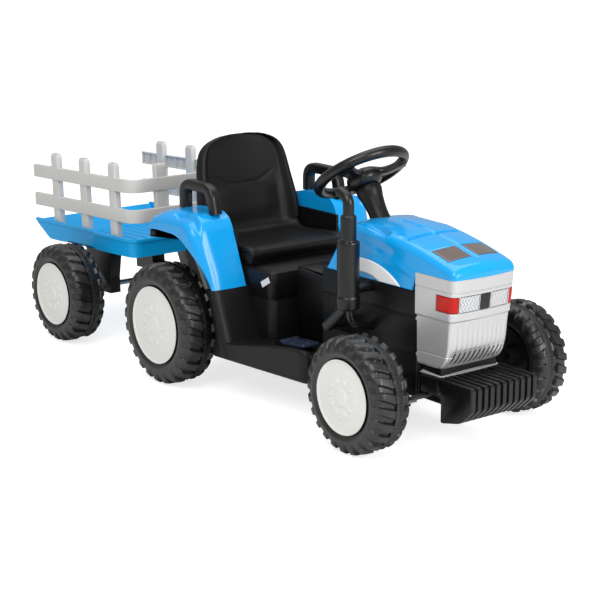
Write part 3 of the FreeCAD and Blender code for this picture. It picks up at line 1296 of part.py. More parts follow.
def make_trailer():
    """Ribbed bed, wrap-round fence, and the frame with its legs, cross beam and drawbar."""
    tub = prism("XZ_Plane", s.bed_half * 2, (
        (-s.bed_tail_low, s.bed_bottom), (s.bed_front, s.bed_bottom), (s.bed_front, s.bed_top),
        (-s.bed_tail, s.bed_top)), centred=True)
    plan = rounded_block((-s.bed_tail - s.overrun, -s.bed_half, s.bed_bottom - s.overrun),
                         (s.bed_front, s.bed_half, s.bed_top + s.overrun), s.bed_corner, (5, 7))
    floor = s.bed_bottom + s.wall
    hollow = prism("XZ_Plane", (s.bed_half - s.wall) * 2, (
        (-s.bed_tail_low, floor), (s.bed_front - s.wall, floor),
        (s.bed_front - s.wall, s.bed_top + s.overrun),
        (-s.bed_tail - s.wall, s.bed_top + s.overrun), (-s.bed_tail + s.wall, s.bed_top)), centred=True)
    hollow_plan = rounded_block((-s.bed_tail - s.wall * 2, s.wall - s.bed_half, s.bed_bottom),
                                (s.bed_front - s.wall, s.bed_half - s.wall, s.bed_top + s.overrun * 2),
                                s.bed_corner - s.wall, (5, 7))
    ribs = []
    for step in range(-BED_RIBS, BED_RIBS + 1):
        middle = step * s.bed_rib_pitch
        rib_front = s.bed_front - s.bed_corner
        ribs.append(block((-s.bed_tail_low + s.wall, middle - s.bed_rib_width / 2, s.bed_bottom),
                          (rib_front, middle + s.bed_rib_width / 2, floor + s.bed_rib_height)))
    bed = fuse(cut(common(tub, plan), common(hollow, hollow_plan)), *ribs)
    keep("trailer_bed", trailer_placed(bed))

    rails = []
    for top in (s.rail_high, s.rail_low):
        outer = rounded_block((-s.fence_tail, -s.fence_half, top - s.rail_height),
                              (s.fence_front, s.fence_half, top), s.fence_corner, (5, 7))
        inner_half = s.fence_half - s.rail_thickness
        inner = rounded_block((-s.fence_tail - s.overrun, -inner_half, top - s.rail_height - s.overrun),
                              (s.fence_front - s.rail_thickness, inner_half, top + s.overrun),
                              s.fence_corner - s.rail_thickness, (5, 7))
        rails.append(cut(outer, inner))
    posts = []
    middle_line = s.fence_half - s.rail_thickness / 2
    for side in (-1, 1):
        for step in range(SIDE_POSTS):
            x = s.post_pitch * step - s.post_first
            y = side * middle_line
            posts.append(block((x - s.post_width / 2, y - s.post_thickness / 2, floor),
                               (x + s.post_width / 2, y + s.post_thickness / 2, s.post_high)))
        x = s.fence_front - s.rail_thickness / 2
        y = side * s.front_post_line
        posts.append(block((x - s.post_thickness / 2, y - s.post_width / 2, floor),
                           (x + s.post_thickness / 2, y + s.post_width / 2, s.post_high)))
    keep("trailer_fence", trailer_placed(fuse(*rails, *posts)))

    legs = []
    for side in (-1, 1):
        spans = sorted((side * s.leg_inner, side * s.leg_outer))
        legs.append(block((-s.leg_half, spans[0], -s.leg_bottom), (s.leg_half, spans[1], s.bed_bottom)))
    cross = block((-s.leg_half, -s.leg_inner, s.bed_bottom - s.cross_height),
                  (s.leg_half, s.leg_inner, s.bed_bottom))
    reach = hitch_x - trailer_axle
    eye_low = (s.tongue_high + s.drawbar_lift + s.eye_radius * sine(s.trailer_pitch)
               - s.front_radius - reach * sine(s.trailer_pitch))
    eye_middle = eye_low + s.drawbar_height / 2
    eye_x = (reach + eye_middle * sine(s.trailer_pitch)) / cosine(s.trailer_pitch)
    half = s.drawbar_width / 2
    bar = block((s.leg_half, -half, eye_low), (eye_x, half, eye_low + s.drawbar_height))
    riser = block((-s.leg_half, -half, eye_low), (s.leg_half, half, s.bed_bottom))
    eye = rod(s.eye_radius, s.drawbar_height, (eye_x, 0, eye_low))
    hole = rod(s.hitch_radius + s.hitch_play, s.drawbar_height + s.overrun * 2,
               (eye_x, 0, eye_low - s.overrun))
    axle_hole = rod(s.axle_radius + s.fit, s.leg_outer * 2 + s.overrun * 2,
                    (0, -s.leg_outer - s.overrun, 0), "y")
    frame = cut(fuse(*legs, cross, bar, riser, eye), hole, axle_hole)
    keep("trailer_frame", trailer_placed(frame))


SIDE_POSTS = 3
BED_RIBS = 4


def check_and_export():
    """Stop on any failed object or unsound solid, then write one file for each sub-part."""
    document.recompute()
    for item in document.Objects:
        if {"Invalid", "Error"} & set(item.State):
            raise RuntimeError(f"{item.Name} failed: {item.State} {[link.Name for link in item.OutList]}")
    for piece in sub_parts:
        shape = piece.Shape
        if shape.isNull() or not shape.isValid() or not shape.Solids:
            raise RuntimeError(f"{piece.Label} has no sound solid")
    os.makedirs("parts", exist_ok=True)
    for piece in sub_parts:
        piece.Shape.exportStep(f"parts/{piece.Label}.step")
        box = piece.Shape.BoundBox
        print(f"{piece.Label}: {len(piece.Shape.Solids)} solids, x {box.XMin:.1f} {box.XMax:.1f}, "
              f"y {box.YMin:.1f} {box.YMax:.1f}, z {box.ZMin:.1f} {box.ZMax:.1f}")


make_body()
make_bonnet()
make_switches()
make_grille()
make_front_weight()
make_fenders()
make_handles()
make_seat()
make_exhaust()
make_front_axle()
make_knuckles()
make_tie_rod()
make_steering()
make_axles()
make_drive()
make_power()
make_pedal()
make_wheels()
make_hitch()
make_trailer()
check_and_export()
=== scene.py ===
import json
import math

import bmesh
import bpy
import numpy as np
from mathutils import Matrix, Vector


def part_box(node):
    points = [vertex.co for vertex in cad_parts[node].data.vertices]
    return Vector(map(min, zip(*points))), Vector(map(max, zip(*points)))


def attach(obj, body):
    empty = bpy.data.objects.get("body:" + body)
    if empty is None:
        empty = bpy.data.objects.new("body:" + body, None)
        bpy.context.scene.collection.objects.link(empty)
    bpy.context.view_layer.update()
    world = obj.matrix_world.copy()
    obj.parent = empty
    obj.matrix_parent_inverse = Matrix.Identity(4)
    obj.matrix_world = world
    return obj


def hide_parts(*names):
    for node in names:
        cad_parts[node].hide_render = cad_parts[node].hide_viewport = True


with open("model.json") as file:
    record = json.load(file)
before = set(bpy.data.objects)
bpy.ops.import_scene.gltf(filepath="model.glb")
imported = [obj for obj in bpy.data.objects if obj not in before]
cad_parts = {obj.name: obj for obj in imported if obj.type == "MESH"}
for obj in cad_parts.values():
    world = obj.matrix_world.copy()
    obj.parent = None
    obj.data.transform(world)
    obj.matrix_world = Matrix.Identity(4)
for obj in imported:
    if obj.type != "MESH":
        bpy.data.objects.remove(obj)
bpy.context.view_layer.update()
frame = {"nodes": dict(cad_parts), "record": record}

bl_info = {
    "name": "Ride-on tractor looks",
    "version": (1, 0, 0),
    "blender": (4, 5, 0),
    "location": "View3D > Sidebar > Tractor",
    "description": "Moulded shells, wheels, trailer and studio for a ride-on toy tractor",
    "category": "Object",
}

SIDES = {"right": -1.0, "left": 1.0}
TAU = 2 * math.pi
# Thickness of open shells, of what is let into them, of backing sheets and of stickers
SHELL_WALL = 0.003
INLAY_WALL = 0.0012
SHEET_WALL = 0.001
FILM_WALL = 0.0005


def low_high(node):
    """Lowest and highest corner of a CAD node as arrays."""
    low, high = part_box(node)
    return np.array(low, float), np.array(high, float)


def middle(node):
    """Middle of a CAD node's box."""
    low, high = low_high(node)
    return (low + high) / 2


FRONT_X = middle("front_tyre_right")[0]
REAR_X = middle("rear_tyre_right")[0]
TRAILER_AXLE = middle("trailer_tyre_right")


# Sizes and colours that a user would change

def length(label, text, default):
    return bpy.props.FloatProperty(name=label, description=text, default=default, unit="LENGTH", precision=4)


def number(label, text, default):
    return bpy.props.IntProperty(name=label, description=text, default=default, min=1)


def colour(label, text, default):
    return bpy.props.FloatVectorProperty(
        name=label, description=text, default=default, subtype="COLOR", size=3, min=0, max=1)


class TractorSizes(bpy.types.PropertyGroup):
    """Sizes of the moulded details."""
    lugs: number("Tyre lugs", "Lugs round each half of a tyre", 24)
    lug_height: length("Lug height", "Tread lugs above the carcass", 0.0065)
    lug_sweep: length("Lug sweep", "Lug end ahead of its start at the middle of the tread", 0.016)
    wheel_bolts: number("Wheel bolts", "Moulded bolt heads round a rim", 10)
    bolt_height: length("Bolt height", "Moulded bolt heads above the rim", 0.0028)
    edge: length("Bonnet edge", "Rounding between the bonnet's top and its sides", 0.015)
    groove: length("Panel groove", "Depth of the grooves on the bonnet", 0.0024)
    scoop: length("Bonnet scoop", "Depth of the scoops on the bonnet's shoulders", 0.012)
    grille_rib: length("Grille rib", "Height of the upright ribs on the grille", 0.0016)
    plate_groove: length("Weight groove", "Depth of the grooves between weight plates", 0.005)
    plates: number("Weight plates", "Plates of the front weight", 11)
    seat_wall: length("Seat thickness", "Thickness of the seat back", 0.030)
    fender_edge: length("Fender edge", "Width of the rounded shoulder along a fender's outer edge", 0.046)
    fender_scoop: length("Fender scoop", "Depth of the long scoop on a fender's shoulder", 0.010)
    bed_lip: length("Bed lip", "Rim of the trailer bed outside its wall", 0.003)
    bed_ribs: number("Bed ribs", "Ribs along the trailer bed", 11)


class TractorColours(bpy.types.PropertyGroup):
    """Colours of the mouldings, as they look under plain light."""
    blue: colour("Blue", "Bonnet and fenders", (0.003, 0.345, 0.80))
    bed: colour("Bed blue", "Trailer bed", (0.005, 0.390, 0.84))
    black: colour("Black", "Body, seat and trim", (0.0040, 0.0040, 0.0041))
    tyre: colour("Tyre", "Tyres", (0.0052, 0.0050, 0.0046))
    silver: colour("Silver", "Grille", (0.64, 0.64, 0.64))
    rim: colour("Rim", "Wheel discs", (0.77, 0.77, 0.735))
    fence: colour("Fence", "Trailer fence", (0.62, 0.617, 0.595))
    red: colour("Red", "Corner lamps", (0.50, 0.010, 0.006))
    tint: colour("Tint", "Tinted panels on the bonnet", (0.125, 0.092, 0.082))
    navy: colour("Navy", "Pedal", (0.020, 0.030, 0.060))
    decal: colour("Decal", "Bare sticker on the bonnet side", (0.86, 0.87, 0.88))
    floor: colour("Floor", "Studio floor", (0.82, 0.82, 0.82))


def sizes():
    return bpy.context.scene.tractor_sizes


def colours():
    return bpy.context.scene.tractor_colours


# Curves and surfaces

def ease(low, high, value):
    """0 below low, 1 above high, and a smooth cubic step between."""
    t = np.clip((value - low) / (high - low), 0, 1)
    return t * t * (3 - 2 * t)


def quarter(t):
    """Height of a quarter round of radius 1 over t; flat 0 beyond it."""
    return np.sqrt(np.clip(1 - t ** 2, 0, 1))


def bump(value, centre, half, soft):
    """1 within half of a centre, falling to 0 over a soft width outside it."""
    return 1 - ease(half, half + soft, np.abs(value - centre))


def parabola(start, pull, end, t):
    """The curve from start to end that a third point pulls towards itself."""
    return (1 - t) ** 2 * np.asarray(start) + 2 * t * (1 - t) * np.asarray(pull) + t ** 2 * np.asarray(end)


def bent(corners, radius, steps=6, closed=False):
    """A line through corners, each corner replaced by a parabola between two points a radius from it."""
    corners = np.asarray(corners, float)
    radii = np.broadcast_to(radius, len(corners))
    before = np.roll(corners, 1, axis=0)
    after = np.roll(corners, -1, axis=0)
    t = np.linspace(0, 1, steps + 1)[:, None]
    line = []
    for index, corner in enumerate(corners):
        if not closed and index in (0, len(corners) - 1):
            line.append(corner[None])
            continue
        to_before = before[index] - corner
        to_after = after[index] - corner
        reach = min(radii[index], 0.49 * np.linalg.norm(to_before), 0.49 * np.linalg.norm(to_after))
        start = corner + to_before / np.linalg.norm(to_before) * reach
        end = corner + to_after / np.linalg.norm(to_after) * reach
        line.append(parabola(start, corner, end, t))
    return np.vstack(line)


def oblong(low, high, corner, steps=4):
    """A closed rectangle between two plan points, with its corners rounded."""
    (x0, y0), (x1, y1) = low, high
    return bent(((x0, y0), (x1, y0), (x1, y1), (x0, y1)), corner, steps, closed=True)


def spaced(line, count, closed=False):
    """Points at even steps of length along a line."""
    line = np.asarray(line, float)
    if closed:
        line = np.vstack((line, line[:1]))
    run = np.concatenate(([0], np.cumsum(np.linalg.norm(np.diff(line, axis=0), axis=1))))
    at = np.linspace(0, run[-1], count, endpoint=not closed)
    return np.stack([np.interp(at, run, line[:, k]) for k in range(line.shape[1])], axis=1)


def smooth_line(x, y, at):
    """A cubic through points with slopes taken from their neighbours."""
    x, y = np.asarray(x, float), np.asarray(y, float)
    slope = np.gradient(y, x)
    k = np.clip(np.searchsorted(x, at) - 1, 0, len(x) - 2)
    step = x[k + 1] - x[k]
    t = (at - x[k]) / step
    return ((2 * t ** 3 - 3 * t ** 2 + 1) * y[k] + (t ** 3 - 2 * t ** 2 + t) * step * slope[k]
            + (3 * t ** 2 - 2 * t ** 3) * y[k + 1] + (t ** 3 - t ** 2) * step * slope[k + 1])


def oval(half_x, half_y, power, count):
    """A superellipse: each coordinate is a power of the circle's, so high powers give a rounded box."""
    angle = np.arange(count) * TAU / count
    c, s = np.cos(angle), np.sin(angle)
    return np.stack((half_x * np.sign(c) * np.abs(c) ** (2 / power),
                     half_y * np.sign(s) * np.abs(s) ** (2 / power)), axis=1)


def spread(*coordinates):
    """Points from coordinates that are spread over one grid."""
    return np.stack(np.broadcast_arrays(*coordinates), axis=-1)


def patch(points, ring=False, loop=False, caps=()):
    """Quads between neighbouring points of a grid; ring closes its columns, loop its rows."""
    rows, cols = points.shape[:2]
    index = np.arange(rows * cols).reshape(rows, cols)
    closed = np.hstack((index, index[:, :1])) if ring else index
    closed = np.vstack((closed, closed[:1])) if loop else closed
    quads = np.stack((closed[:-1, :-1], closed[1:, :-1], closed[1:, 1:], closed[:-1, 1:]), axis=-1)
    faces = quads.reshape(-1, 4).tolist()
    for row in caps:
        faces.append(index[row].tolist())
    return points.reshape(-1, 3), faces


def moved(patches, change):
    """The same patches with every point passed through a change."""
    return [(change(points), faces) for points, faces in patches]


def pitched(points, angle):
    """Points turned nose up about the y axis."""
    x, y, z = points.T
    c, s = math.cos(angle), math.sin(angle)
    return spread(x * c - z * s, y, z * c + x * s)


def carried(profile, path, up, scale=1.0):
    """A profile of (sideways, upward) points carried along a path and kept square to it."""
    path = np.asarray(path, float)
    profile = np.asarray(profile, float)
    ahead = np.gradient(path, axis=0)
    ahead /= np.linalg.norm(ahead, axis=1, keepdims=True)
    side = np.cross(ahead, up)
    side /= np.linalg.norm(side, axis=1, keepdims=True)
    top = np.cross(side, ahead)
    scale = np.broadcast_to(scale, len(path))[:, None, None]
    return (path[:, None] + profile[None, :, :1] * side[:, None] * scale
            + profile[None, :, 1:] * top[:, None] * scale)


def rod(profile, path, up, scale=1.0):
    """A profile carried along a path, with both ends closed."""
    return patch(carried(profile, path, up, scale), ring=True, caps=(0, -1))


def turned(profile, origin, axis, count):
    """Points of (radius, distance along the axis) carried round an axis."""
    axis = np.asarray(axis, float) / np.linalg.norm(axis)
    first = np.cross(axis, (0.0, 1.0, 0.0) if abs(axis[1]) < 0.9 else (1.0, 0.0, 0.0))
    first /= np.linalg.norm(first)
    second = np.cross(axis, first)
    angle = np.arange(count) * TAU / count
    round_trip = np.cos(angle)[:, None] * first + np.sin(angle)[:, None] * second
    profile = np.asarray(profile, float)
    return (np.asarray(origin, float) + profile[:, None, :1] * round_trip
            + profile[:, None, 1:] * axis)


def beside(line):
    """Unit normals of an open plane line, on the right of its run."""
    ahead = np.gradient(line, axis=0)
    ahead /= np.linalg.norm(ahead, axis=1, keepdims=True)
    return ahead[:, ::-1] * (1, -1)


def outward(outline):
    """Unit normals of a closed plane outline, pointing away from its inside."""
    ahead = np.roll(outline, -1, axis=0) - np.roll(outline, 1, axis=0)
    normal = ahead[:, ::-1] * (1, -1)
    normal /= np.linalg.norm(normal, axis=1, keepdims=True)
    x, y = outline.T
    area = np.sum(x * np.roll(y, -1) - np.roll(x, -1) * y)
    return normal if area > 0 else -normal


def raised(outline, heights, insets, axes=(0, 1, 2), caps=(0, -1)):
    """A plane outline carried through heights and drawn in by an inset at each, with its ends closed."""
    flat = outline[None] - np.asarray(insets, float)[:, None, None] * outward(outline)[None]
    tall = np.broadcast_to(np.asarray(heights, float)[:, None, None], flat.shape[:2] + (1,))
    points = np.concatenate((flat, tall), axis=2)
    return patch(points[:, :, np.argsort(axes)], ring=True, caps=caps)


def soft_ends(low, high, edge, steps=5, both=True):
    """Heights and insets of an upright wall whose upper edge, or both edges, are quarter rounds."""
    turn = np.linspace(0, math.pi / 2, steps)
    top = (high - edge + edge * np.sin(turn), edge * (1 - np.cos(turn)))
    if both:
        return (np.concatenate(((low + edge - edge * np.sin(turn))[::-1], top[0])),
                np.concatenate((top[1][::-1], top[1])))
    return np.concatenate(([low], top[0])), np.concatenate(([0.0], top[1]))


def soft_box(low, high, edge, corner):
    """A box with rounded corners in plan and rounded ends."""
    return raised(oblong(low[:2], high[:2], corner), *soft_ends(low[2], high[2], edge))


def piece(name, patches, body, slot, stands_for=(), crease=38, wall=0.0, finish=None):
    """One mesh of patches, doubles merged and faces turned outwards; a wall thickens an open one."""
    mesh = bpy.data.meshes.new(name)
    start = 0
    faces = []
    for points, part_faces in patches:
        faces += [[start + corner for corner in face] for face in part_faces]
        start += len(points)
    mesh.from_pydata(np.vstack([points for points, _ in patches]).tolist(), [], faces)
    work = bmesh.new()
    work.from_mesh(mesh)
    bmesh.ops.remove_doubles(work, verts=work.verts, dist=1e-6)
    bmesh.ops.recalc_face_normals(work, faces=work.faces)
    work.to_mesh(mesh)
    work.free()
    mesh.polygons.foreach_set("use_smooth", np.ones(len(mesh.polygons), bool))
    mesh.set_sharp_from_angle(angle=math.radians(crease))
    made = bpy.data.objects.new(name, mesh)
    bpy.context.scene.collection.objects.link(made)
    mesh.materials.append(finish or SLOT_FINISHES[slot]())
    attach(made, body)
    if stands_for:
        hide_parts(*stands_for)
    if wall:
        made.modifiers.new("wall", "SOLIDIFY").thickness = wall


# Finishes

# Size of the colour clouds and of the gloss clouds, as repeats per metre, depth of the grain, gloss of a coat
CLOUD_SCALE = 14.0
GLOSS_SCALE = 55.0
GRAIN_DEPTH = 0.0004
COAT_ROUGH = 0.13


def feed(node, inputs):
    """Set a node's inputs, each to a value or to the socket that drives it."""
    for key, value in inputs.items():
        if isinstance(value, bpy.types.NodeSocket):
            node.id_data.links.new(value, node.inputs[key])
        else:
            node.inputs[key].default_value = value


def add(tree, kind, inputs, **settings):
    """A new shader node with its settings and inputs."""
    node = tree.nodes.new(f"ShaderNode{kind}")
    for key, value in settings.items():
        setattr(node, key, value)
    feed(node, inputs)
    return node


def made_once(build):
    """A finish is built on its first use and found by its name afterwards."""
    def find(name=build.__name__, *values, **choices):
        return bpy.data.materials.get(f"{name}_finish") or build(name, *values, **choices)
    return find


def finish_nodes(name):
    """A new material with its node tree, its shader and its Object coordinates."""
    material = bpy.data.materials.new(f"{name}_finish")
    material.use_nodes = True
    tree = material.node_tree
    return material, tree, tree.nodes["Principled BSDF"], add(tree, "TexCoord", {}).outputs["Object"]


def noise(tree, place, scale, detail=3.0):
    """Noise of a size on the piece's own coordinates."""
    return add(tree, "TexNoise", {"Vector": place, "Scale": scale, "Detail": detail}).outputs["Fac"]


def between(tree, value, low, high):
    """A value from 0 to 1 stretched between two others."""
    return add(tree, "MapRange", {"Value": value, "To Min": low, "To Max": high}).outputs["Result"]


def blend_colour(tree, value, first, second):
    """Two colours mixed by a value."""
    inputs = {"Factor": value, 6: (*first, 1.0), 7: (*second, 1.0)}
    return add(tree, "Mix", inputs, data_type="RGBA").outputs[2]


def grain(tree, height, strength, distance):
    """Fine relief as a normal."""
    return add(tree, "Bump", {"Height": height, "Strength": strength, "Distance": distance}).outputs["Normal"]


@made_once
def plastic(name, tone, rough=(0.3, 0.4), grain_scale=900.0, grain_strength=0.12, coat=0.0, mottle=0.06,
            shine=0.5):
    """Moulded plastic: a slightly uneven colour, uneven gloss and a fine grain."""
    material, tree, shader, place = finish_nodes(name)
    tone = np.array(tone[:3])
    dark, pale = tone * (1 - mottle), np.minimum(tone * (1 + mottle), 1)
    feed(shader, {"Base Color": blend_colour(tree, noise(tree, place, CLOUD_SCALE), dark, pale),
                  "Roughness": between(tree, noise(tree, place, GLOSS_SCALE), *rough),
                  "Normal": grain(tree, noise(tree, place, grain_scale, 2.0), grain_strength, GRAIN_DEPTH),
                  "Specular IOR Level": shine, "Coat Weight": coat, "Coat Roughness": COAT_ROUGH})
    return material


@made_once
def metal(name, tone, rough=(0.28, 0.42)):
    """Plated steel with fine brushed variation."""
    material, tree, shader, place = finish_nodes(name)
    tone = np.array(tone[:3])
    feed(shader, {"Base Color": blend_colour(tree, noise(tree, place, 60.0), tone * 0.85, tone),
                  "Roughness": between(tree, noise(tree, place, 240.0), *rough), "Metallic": 1.0})
    return material


def blue_gloss():
    return plastic("blue_gloss", colours().blue, (0.17, 0.25), 500.0, 0.02, coat=0.5, mottle=0.03, shine=0.3)


def bed_gloss():
    return plastic("bed_gloss", colours().bed, (0.30, 0.40), 500.0, 0.04, coat=0.10, mottle=0.04, shine=0.2)


def black_satin():
    return plastic("black_satin", colours().black, (0.34, 0.46), 1100.0, 0.16, shine=0.29)


def black_seat():
    return plastic("black_seat", colours().black, (0.38, 0.50), 1500.0, 0.22, shine=0.26)


def black_trim():
    return plastic("black_trim", colours().black, (0.26, 0.36), 900.0, 0.10, shine=0.47)


def tyre_black():
    return plastic("tyre_black", colours().tyre, (0.34, 0.44), 1000.0, 0.22, shine=0.72)


def rim_white():
    return plastic("rim_white", colours().rim, (0.34, 0.46), 700.0, 0.10, mottle=0.02)


def fence_grey():
    return plastic("fence_grey", colours().fence, (0.42, 0.55), 900.0, 0.14, mottle=0.03)


@made_once
def silver_paint(name):
    """Metallic paint: half metal, with tiny flakes that vary its gloss."""
    material, tree, shader, place = finish_nodes(name)
    tone = np.array(colours().silver[:3])
    feed(shader, {"Base Color": blend_colour(tree, noise(tree, place, 1800.0, 1.0), tone * 0.93, tone),
                  "Roughness": between(tree, noise(tree, place, 900.0), 0.30, 0.42), "Metallic": 0.55})
    return material


# Folds of the zigzag up a head lamp, and half the distance between two chevrons
CHEVRON_FOLDS = 4
CHEVRON_HALF = 0.0038


@made_once
def lens_clear(name):
    """Clear lens over a bright reflector, with a pattern of chevrons that point outwards."""
    material, tree, shader, place = finish_nodes(name)
    low, high = (float(corner[2]) for corner in low_high("headlamp_lenses"))

    def step(operation, first, second):
        return add(tree, "Math", {0: first, 1: second}, operation=operation).outputs["Value"]

    axes = add(tree, "SeparateXYZ", {"Vector": place}).outputs
    zigzag = step("PINGPONG", step("SUBTRACT", axes["Z"], low), (high - low) / CHEVRON_FOLDS)
    along = step("SUBTRACT", step("ABSOLUTE", axes["Y"], 0.0), zigzag)
    level = step("DIVIDE", step("PINGPONG", along, CHEVRON_HALF), CHEVRON_HALF)
    feed(shader, {"Base Color": blend_colour(tree, level, (0.70, 0.71, 0.72), (0.30, 0.31, 0.33)),
                  "Normal": grain(tree, level, 0.4, 0.001), "Roughness": 0.12, "Coat Weight": 0.6})
    return material


@made_once
def lens_red(name):
    """Red lens with fine upright flutes under a smooth face."""
    material, tree, shader, place = finish_nodes(name)
    tone = np.array(colours().red[:3])
    flutes = add(tree, "TexWave", {"Vector": place, "Scale": 90.0, "Distortion": 0.4}, bands_direction="Y")
    shade = blend_colour(tree, flutes.outputs["Fac"], tone * 0.86, np.minimum(tone * 1.08, 1))
    feed(shader, {"Base Color": shade, "Roughness": 0.16, "Specular IOR Level": 0.20, "Coat Weight": 0.10})
    return material


SLOT_FINISHES = {
    "blue_plastic": blue_gloss, "bed_blue": bed_gloss, "black_body": black_satin, "seat_black": black_seat,
    "black_trim": black_trim, "tyre_black": tyre_black, "rim_white": rim_white, "fence_grey": fence_grey,
    "silver_plastic": silver_paint, "clear_lens": lens_clear, "red_lens": lens_red,
}


# Wheels

# Tyre: rounding of its walls, half width of a lug as a share of the spacing at the edge and its gain at the
# middle, softness of its flanks, how far a lug leans out sideways
TYRE_WALL = 0.012
LUG_SHARE = (0.20, 0.10)
LUG_SOFT = 0.07
LUG_LEAN = 0.35
# Mid seam: depth, half width. Knurled band beside it: base, pips, middle, half width, pips between two lugs
SEAM = (0.0026, 0.0010)
BAND_BASE = 0.0020
PIP_HEIGHT = 0.0016
PIP_AT = 0.011
PIP_HALF = 0.004
PIPS_PER_LUG = 5

def tyre_surface(radius, bead, width, turn):
    """Closed section (radius, across) carried round the axle, lugs added along the section's own outward way.

    The section is a rounded box from bead to tread. A lug is a smooth pulse of the angle, which lags with
    the distance from the middle of the tread, and fades down the sidewall.
    """
    size = sizes()
    carcass = radius - size.lug_height
    half = width / 2
    wall = TYRE_WALL
    section = bent(((bead, -half * 0.86), (bead + wall, -half), (carcass - wall * 1.6, -half * 0.98),
                    (carcass - wall * 0.22, -half * 0.80), (carcass, 0.0),
                    (carcass - wall * 0.22, half * 0.80), (carcass - wall * 1.6, half * 0.98),
                    (bead + wall, half), (bead, half * 0.86)),
                   (0.0, wall, 0.014, wall, 0.05, wall, 0.014, wall, 0.0), 8)
    section = np.vstack((section, spaced(((bead, half * 0.86), (bead, -half * 0.86)), 6)[1:-1]))
    section = spaced(section, 110, closed=True)
    away = outward(section)
    count = int(size.lugs) * 20
    angle = (np.arange(count) * TAU / count)[None]
    radial, across = section[:, :1], section[:, 1:]
    side = np.where(across > 0, 0.5, 0.0)
    sweep = size.lug_sweep / carcass * size.lugs / TAU
    phase = (angle * size.lugs / TAU + side + turn * sweep * np.abs(across) / half) % 1.0
    lug_half = LUG_SHARE[0] + LUG_SHARE[1] * (1 - np.abs(across) / half)
    bar = 1 - ease(lug_half, lug_half + LUG_SOFT, np.abs(phase - 0.5))
    inner_half = ease(0.002, 0.004, -across * turn)
    shoulder = ease(0.50, 0.62, np.abs(across) / half)
    outer = ease(0.0012, 0.0025, np.abs(across)) * ease(carcass - 0.020, carcass - 0.010, radial)
    on_tread = ease(carcass - 0.008, carcass - 0.004, radial)
    seam = -SEAM[0] * bump(across, 0.0, SEAM[1], SEAM[1]) * on_tread
    band = bump(np.abs(across), PIP_AT, PIP_HALF, 0.001)
    pips = np.clip(np.cos(angle * size.lugs * PIPS_PER_LUG), 0, 1) * band
    lift = (size.lug_height * bar * outer * (1 - inner_half * (1 - shoulder)) + seam
            + PIP_HEIGHT * pips * inner_half * on_tread + BAND_BASE * inner_half * (1 - shoulder) * on_tread)
    r = np.minimum(radial + away[:, :1] * lift, radius)
    y = across + away[:, 1:] * lift * LUG_LEAN
    return spread(r * np.cos(angle), y, r * np.sin(angle))


# Rows of the rim's section over its face, and how far the face runs under the tyre's bead
RIM_FACE_ROWS = 64
RIM_TUCK = 0.0005
# Face of the rim: depth of its edge, dome, plateau and hub with their reach, rolled edge, and the bolts'
# place; reach and place are shares of the radius
RIM_SINK = 0.0050
RIM_DOME = 0.0030
RIM_PLATEAU = (0.0012, 0.58)
RIM_HUB = (0.0024, 0.20)
RIM_ROLL = 0.0035
BOLTS_AT = 0.44


def rim_surface(bead, width, face):
    """Outer face, barrel and inner dish as one section carried round the axle, with bolt heads on the face.

    A bolt head is a power of a cosine of the angle times a smooth hump of the radius.
    """
    size = sizes()
    half = width / 2
    face_edge = bead + RIM_TUCK
    inside = (face_edge, bead - 0.004, bead - 0.006, bead * 0.62, bead * 0.34, bead * 0.26, 0.0075, 0.0068)
    radii = np.concatenate((np.linspace(0.0001, 1, RIM_FACE_ROWS) * face_edge, inside))
    shape = radii[:RIM_FACE_ROWS] / bead
    dish = -RIM_SINK + RIM_DOME * quarter(shape / 0.96)
    for height, reach in (RIM_PLATEAU, RIM_HUB):
        dish = dish + height * bump(shape, 0.0, reach, 0.06)
    dish = dish + RIM_ROLL * ease(0.93, 0.985, shape)
    heights = np.concatenate((half + dish, (half - 0.002, half - 0.011, -half * 0.86, -half * 0.35,
                                            -half * 0.30, -half * 0.80, -half * 0.80, -half * 0.2)))
    count = 160
    angle = (np.arange(count) * TAU / count)[None]
    heads = np.clip(np.cos(angle * size.wheel_bolts), 0, 1) ** 2
    ring = np.concatenate((bump(shape, BOLTS_AT, 0.035, 0.05), np.zeros(len(inside))))[:, None]
    lift = heights[:, None] + size.bolt_height * ring * heads
    r = radii[:, None]
    return spread(r * np.cos(angle), lift * face, r * np.sin(angle))


class TRACTOR_OT_wheels(bpy.types.Operator):
    """Lugged tyres and moulded rims on all axles"""
    bl_idname = "tractor.wheels"
    bl_label = "Wheels"

    def execute(self, context):
        for axle in ("front", "rear", "trailer"):
            for name, side in SIDES.items():
                tyre, rim, body = f"{axle}_tyre_{name}", f"{axle}_rim_{name}", f"{axle}_wheel_{name}"
                low, high = low_high(tyre)
                rim_low, rim_high = low_high(rim)
                width = high[1] - low[1]
                bead = (rim_high[0] - rim_low[0]) / 2
                at = middle(tyre)
                points = tyre_surface((high[0] - low[0]) / 2, bead, width, side) + at
                piece(f"{tyre}_moulding", [patch(points, ring=True, loop=True)], body, "tyre_black", (tyre,))
                disc = rim_surface(bead, width, side) + at
                face, inside = disc[:RIM_FACE_ROWS + 1], disc[RIM_FACE_ROWS:]
                piece(f"{rim}_moulding", [patch(face, ring=True)], body, "rim_white", (rim,))
                piece(f"{rim}_inside", [patch(inside, ring=True)], body, "tyre_black")
        return {"FINISHED"}


# Bonnet

# Heights of the bonnet's shoulder line: share of the length from the back, share of the height above the foot
BONNET_LINE_SHARES = ((-0.05, 0.73), (0.0, 0.79), (0.2, 0.96), (0.32, 0.985), (0.45, 0.965),
                      (0.6, 0.895), (0.76, 0.785), (0.93, 0.615), (1.0, 0.53), (1.06, 0.45))
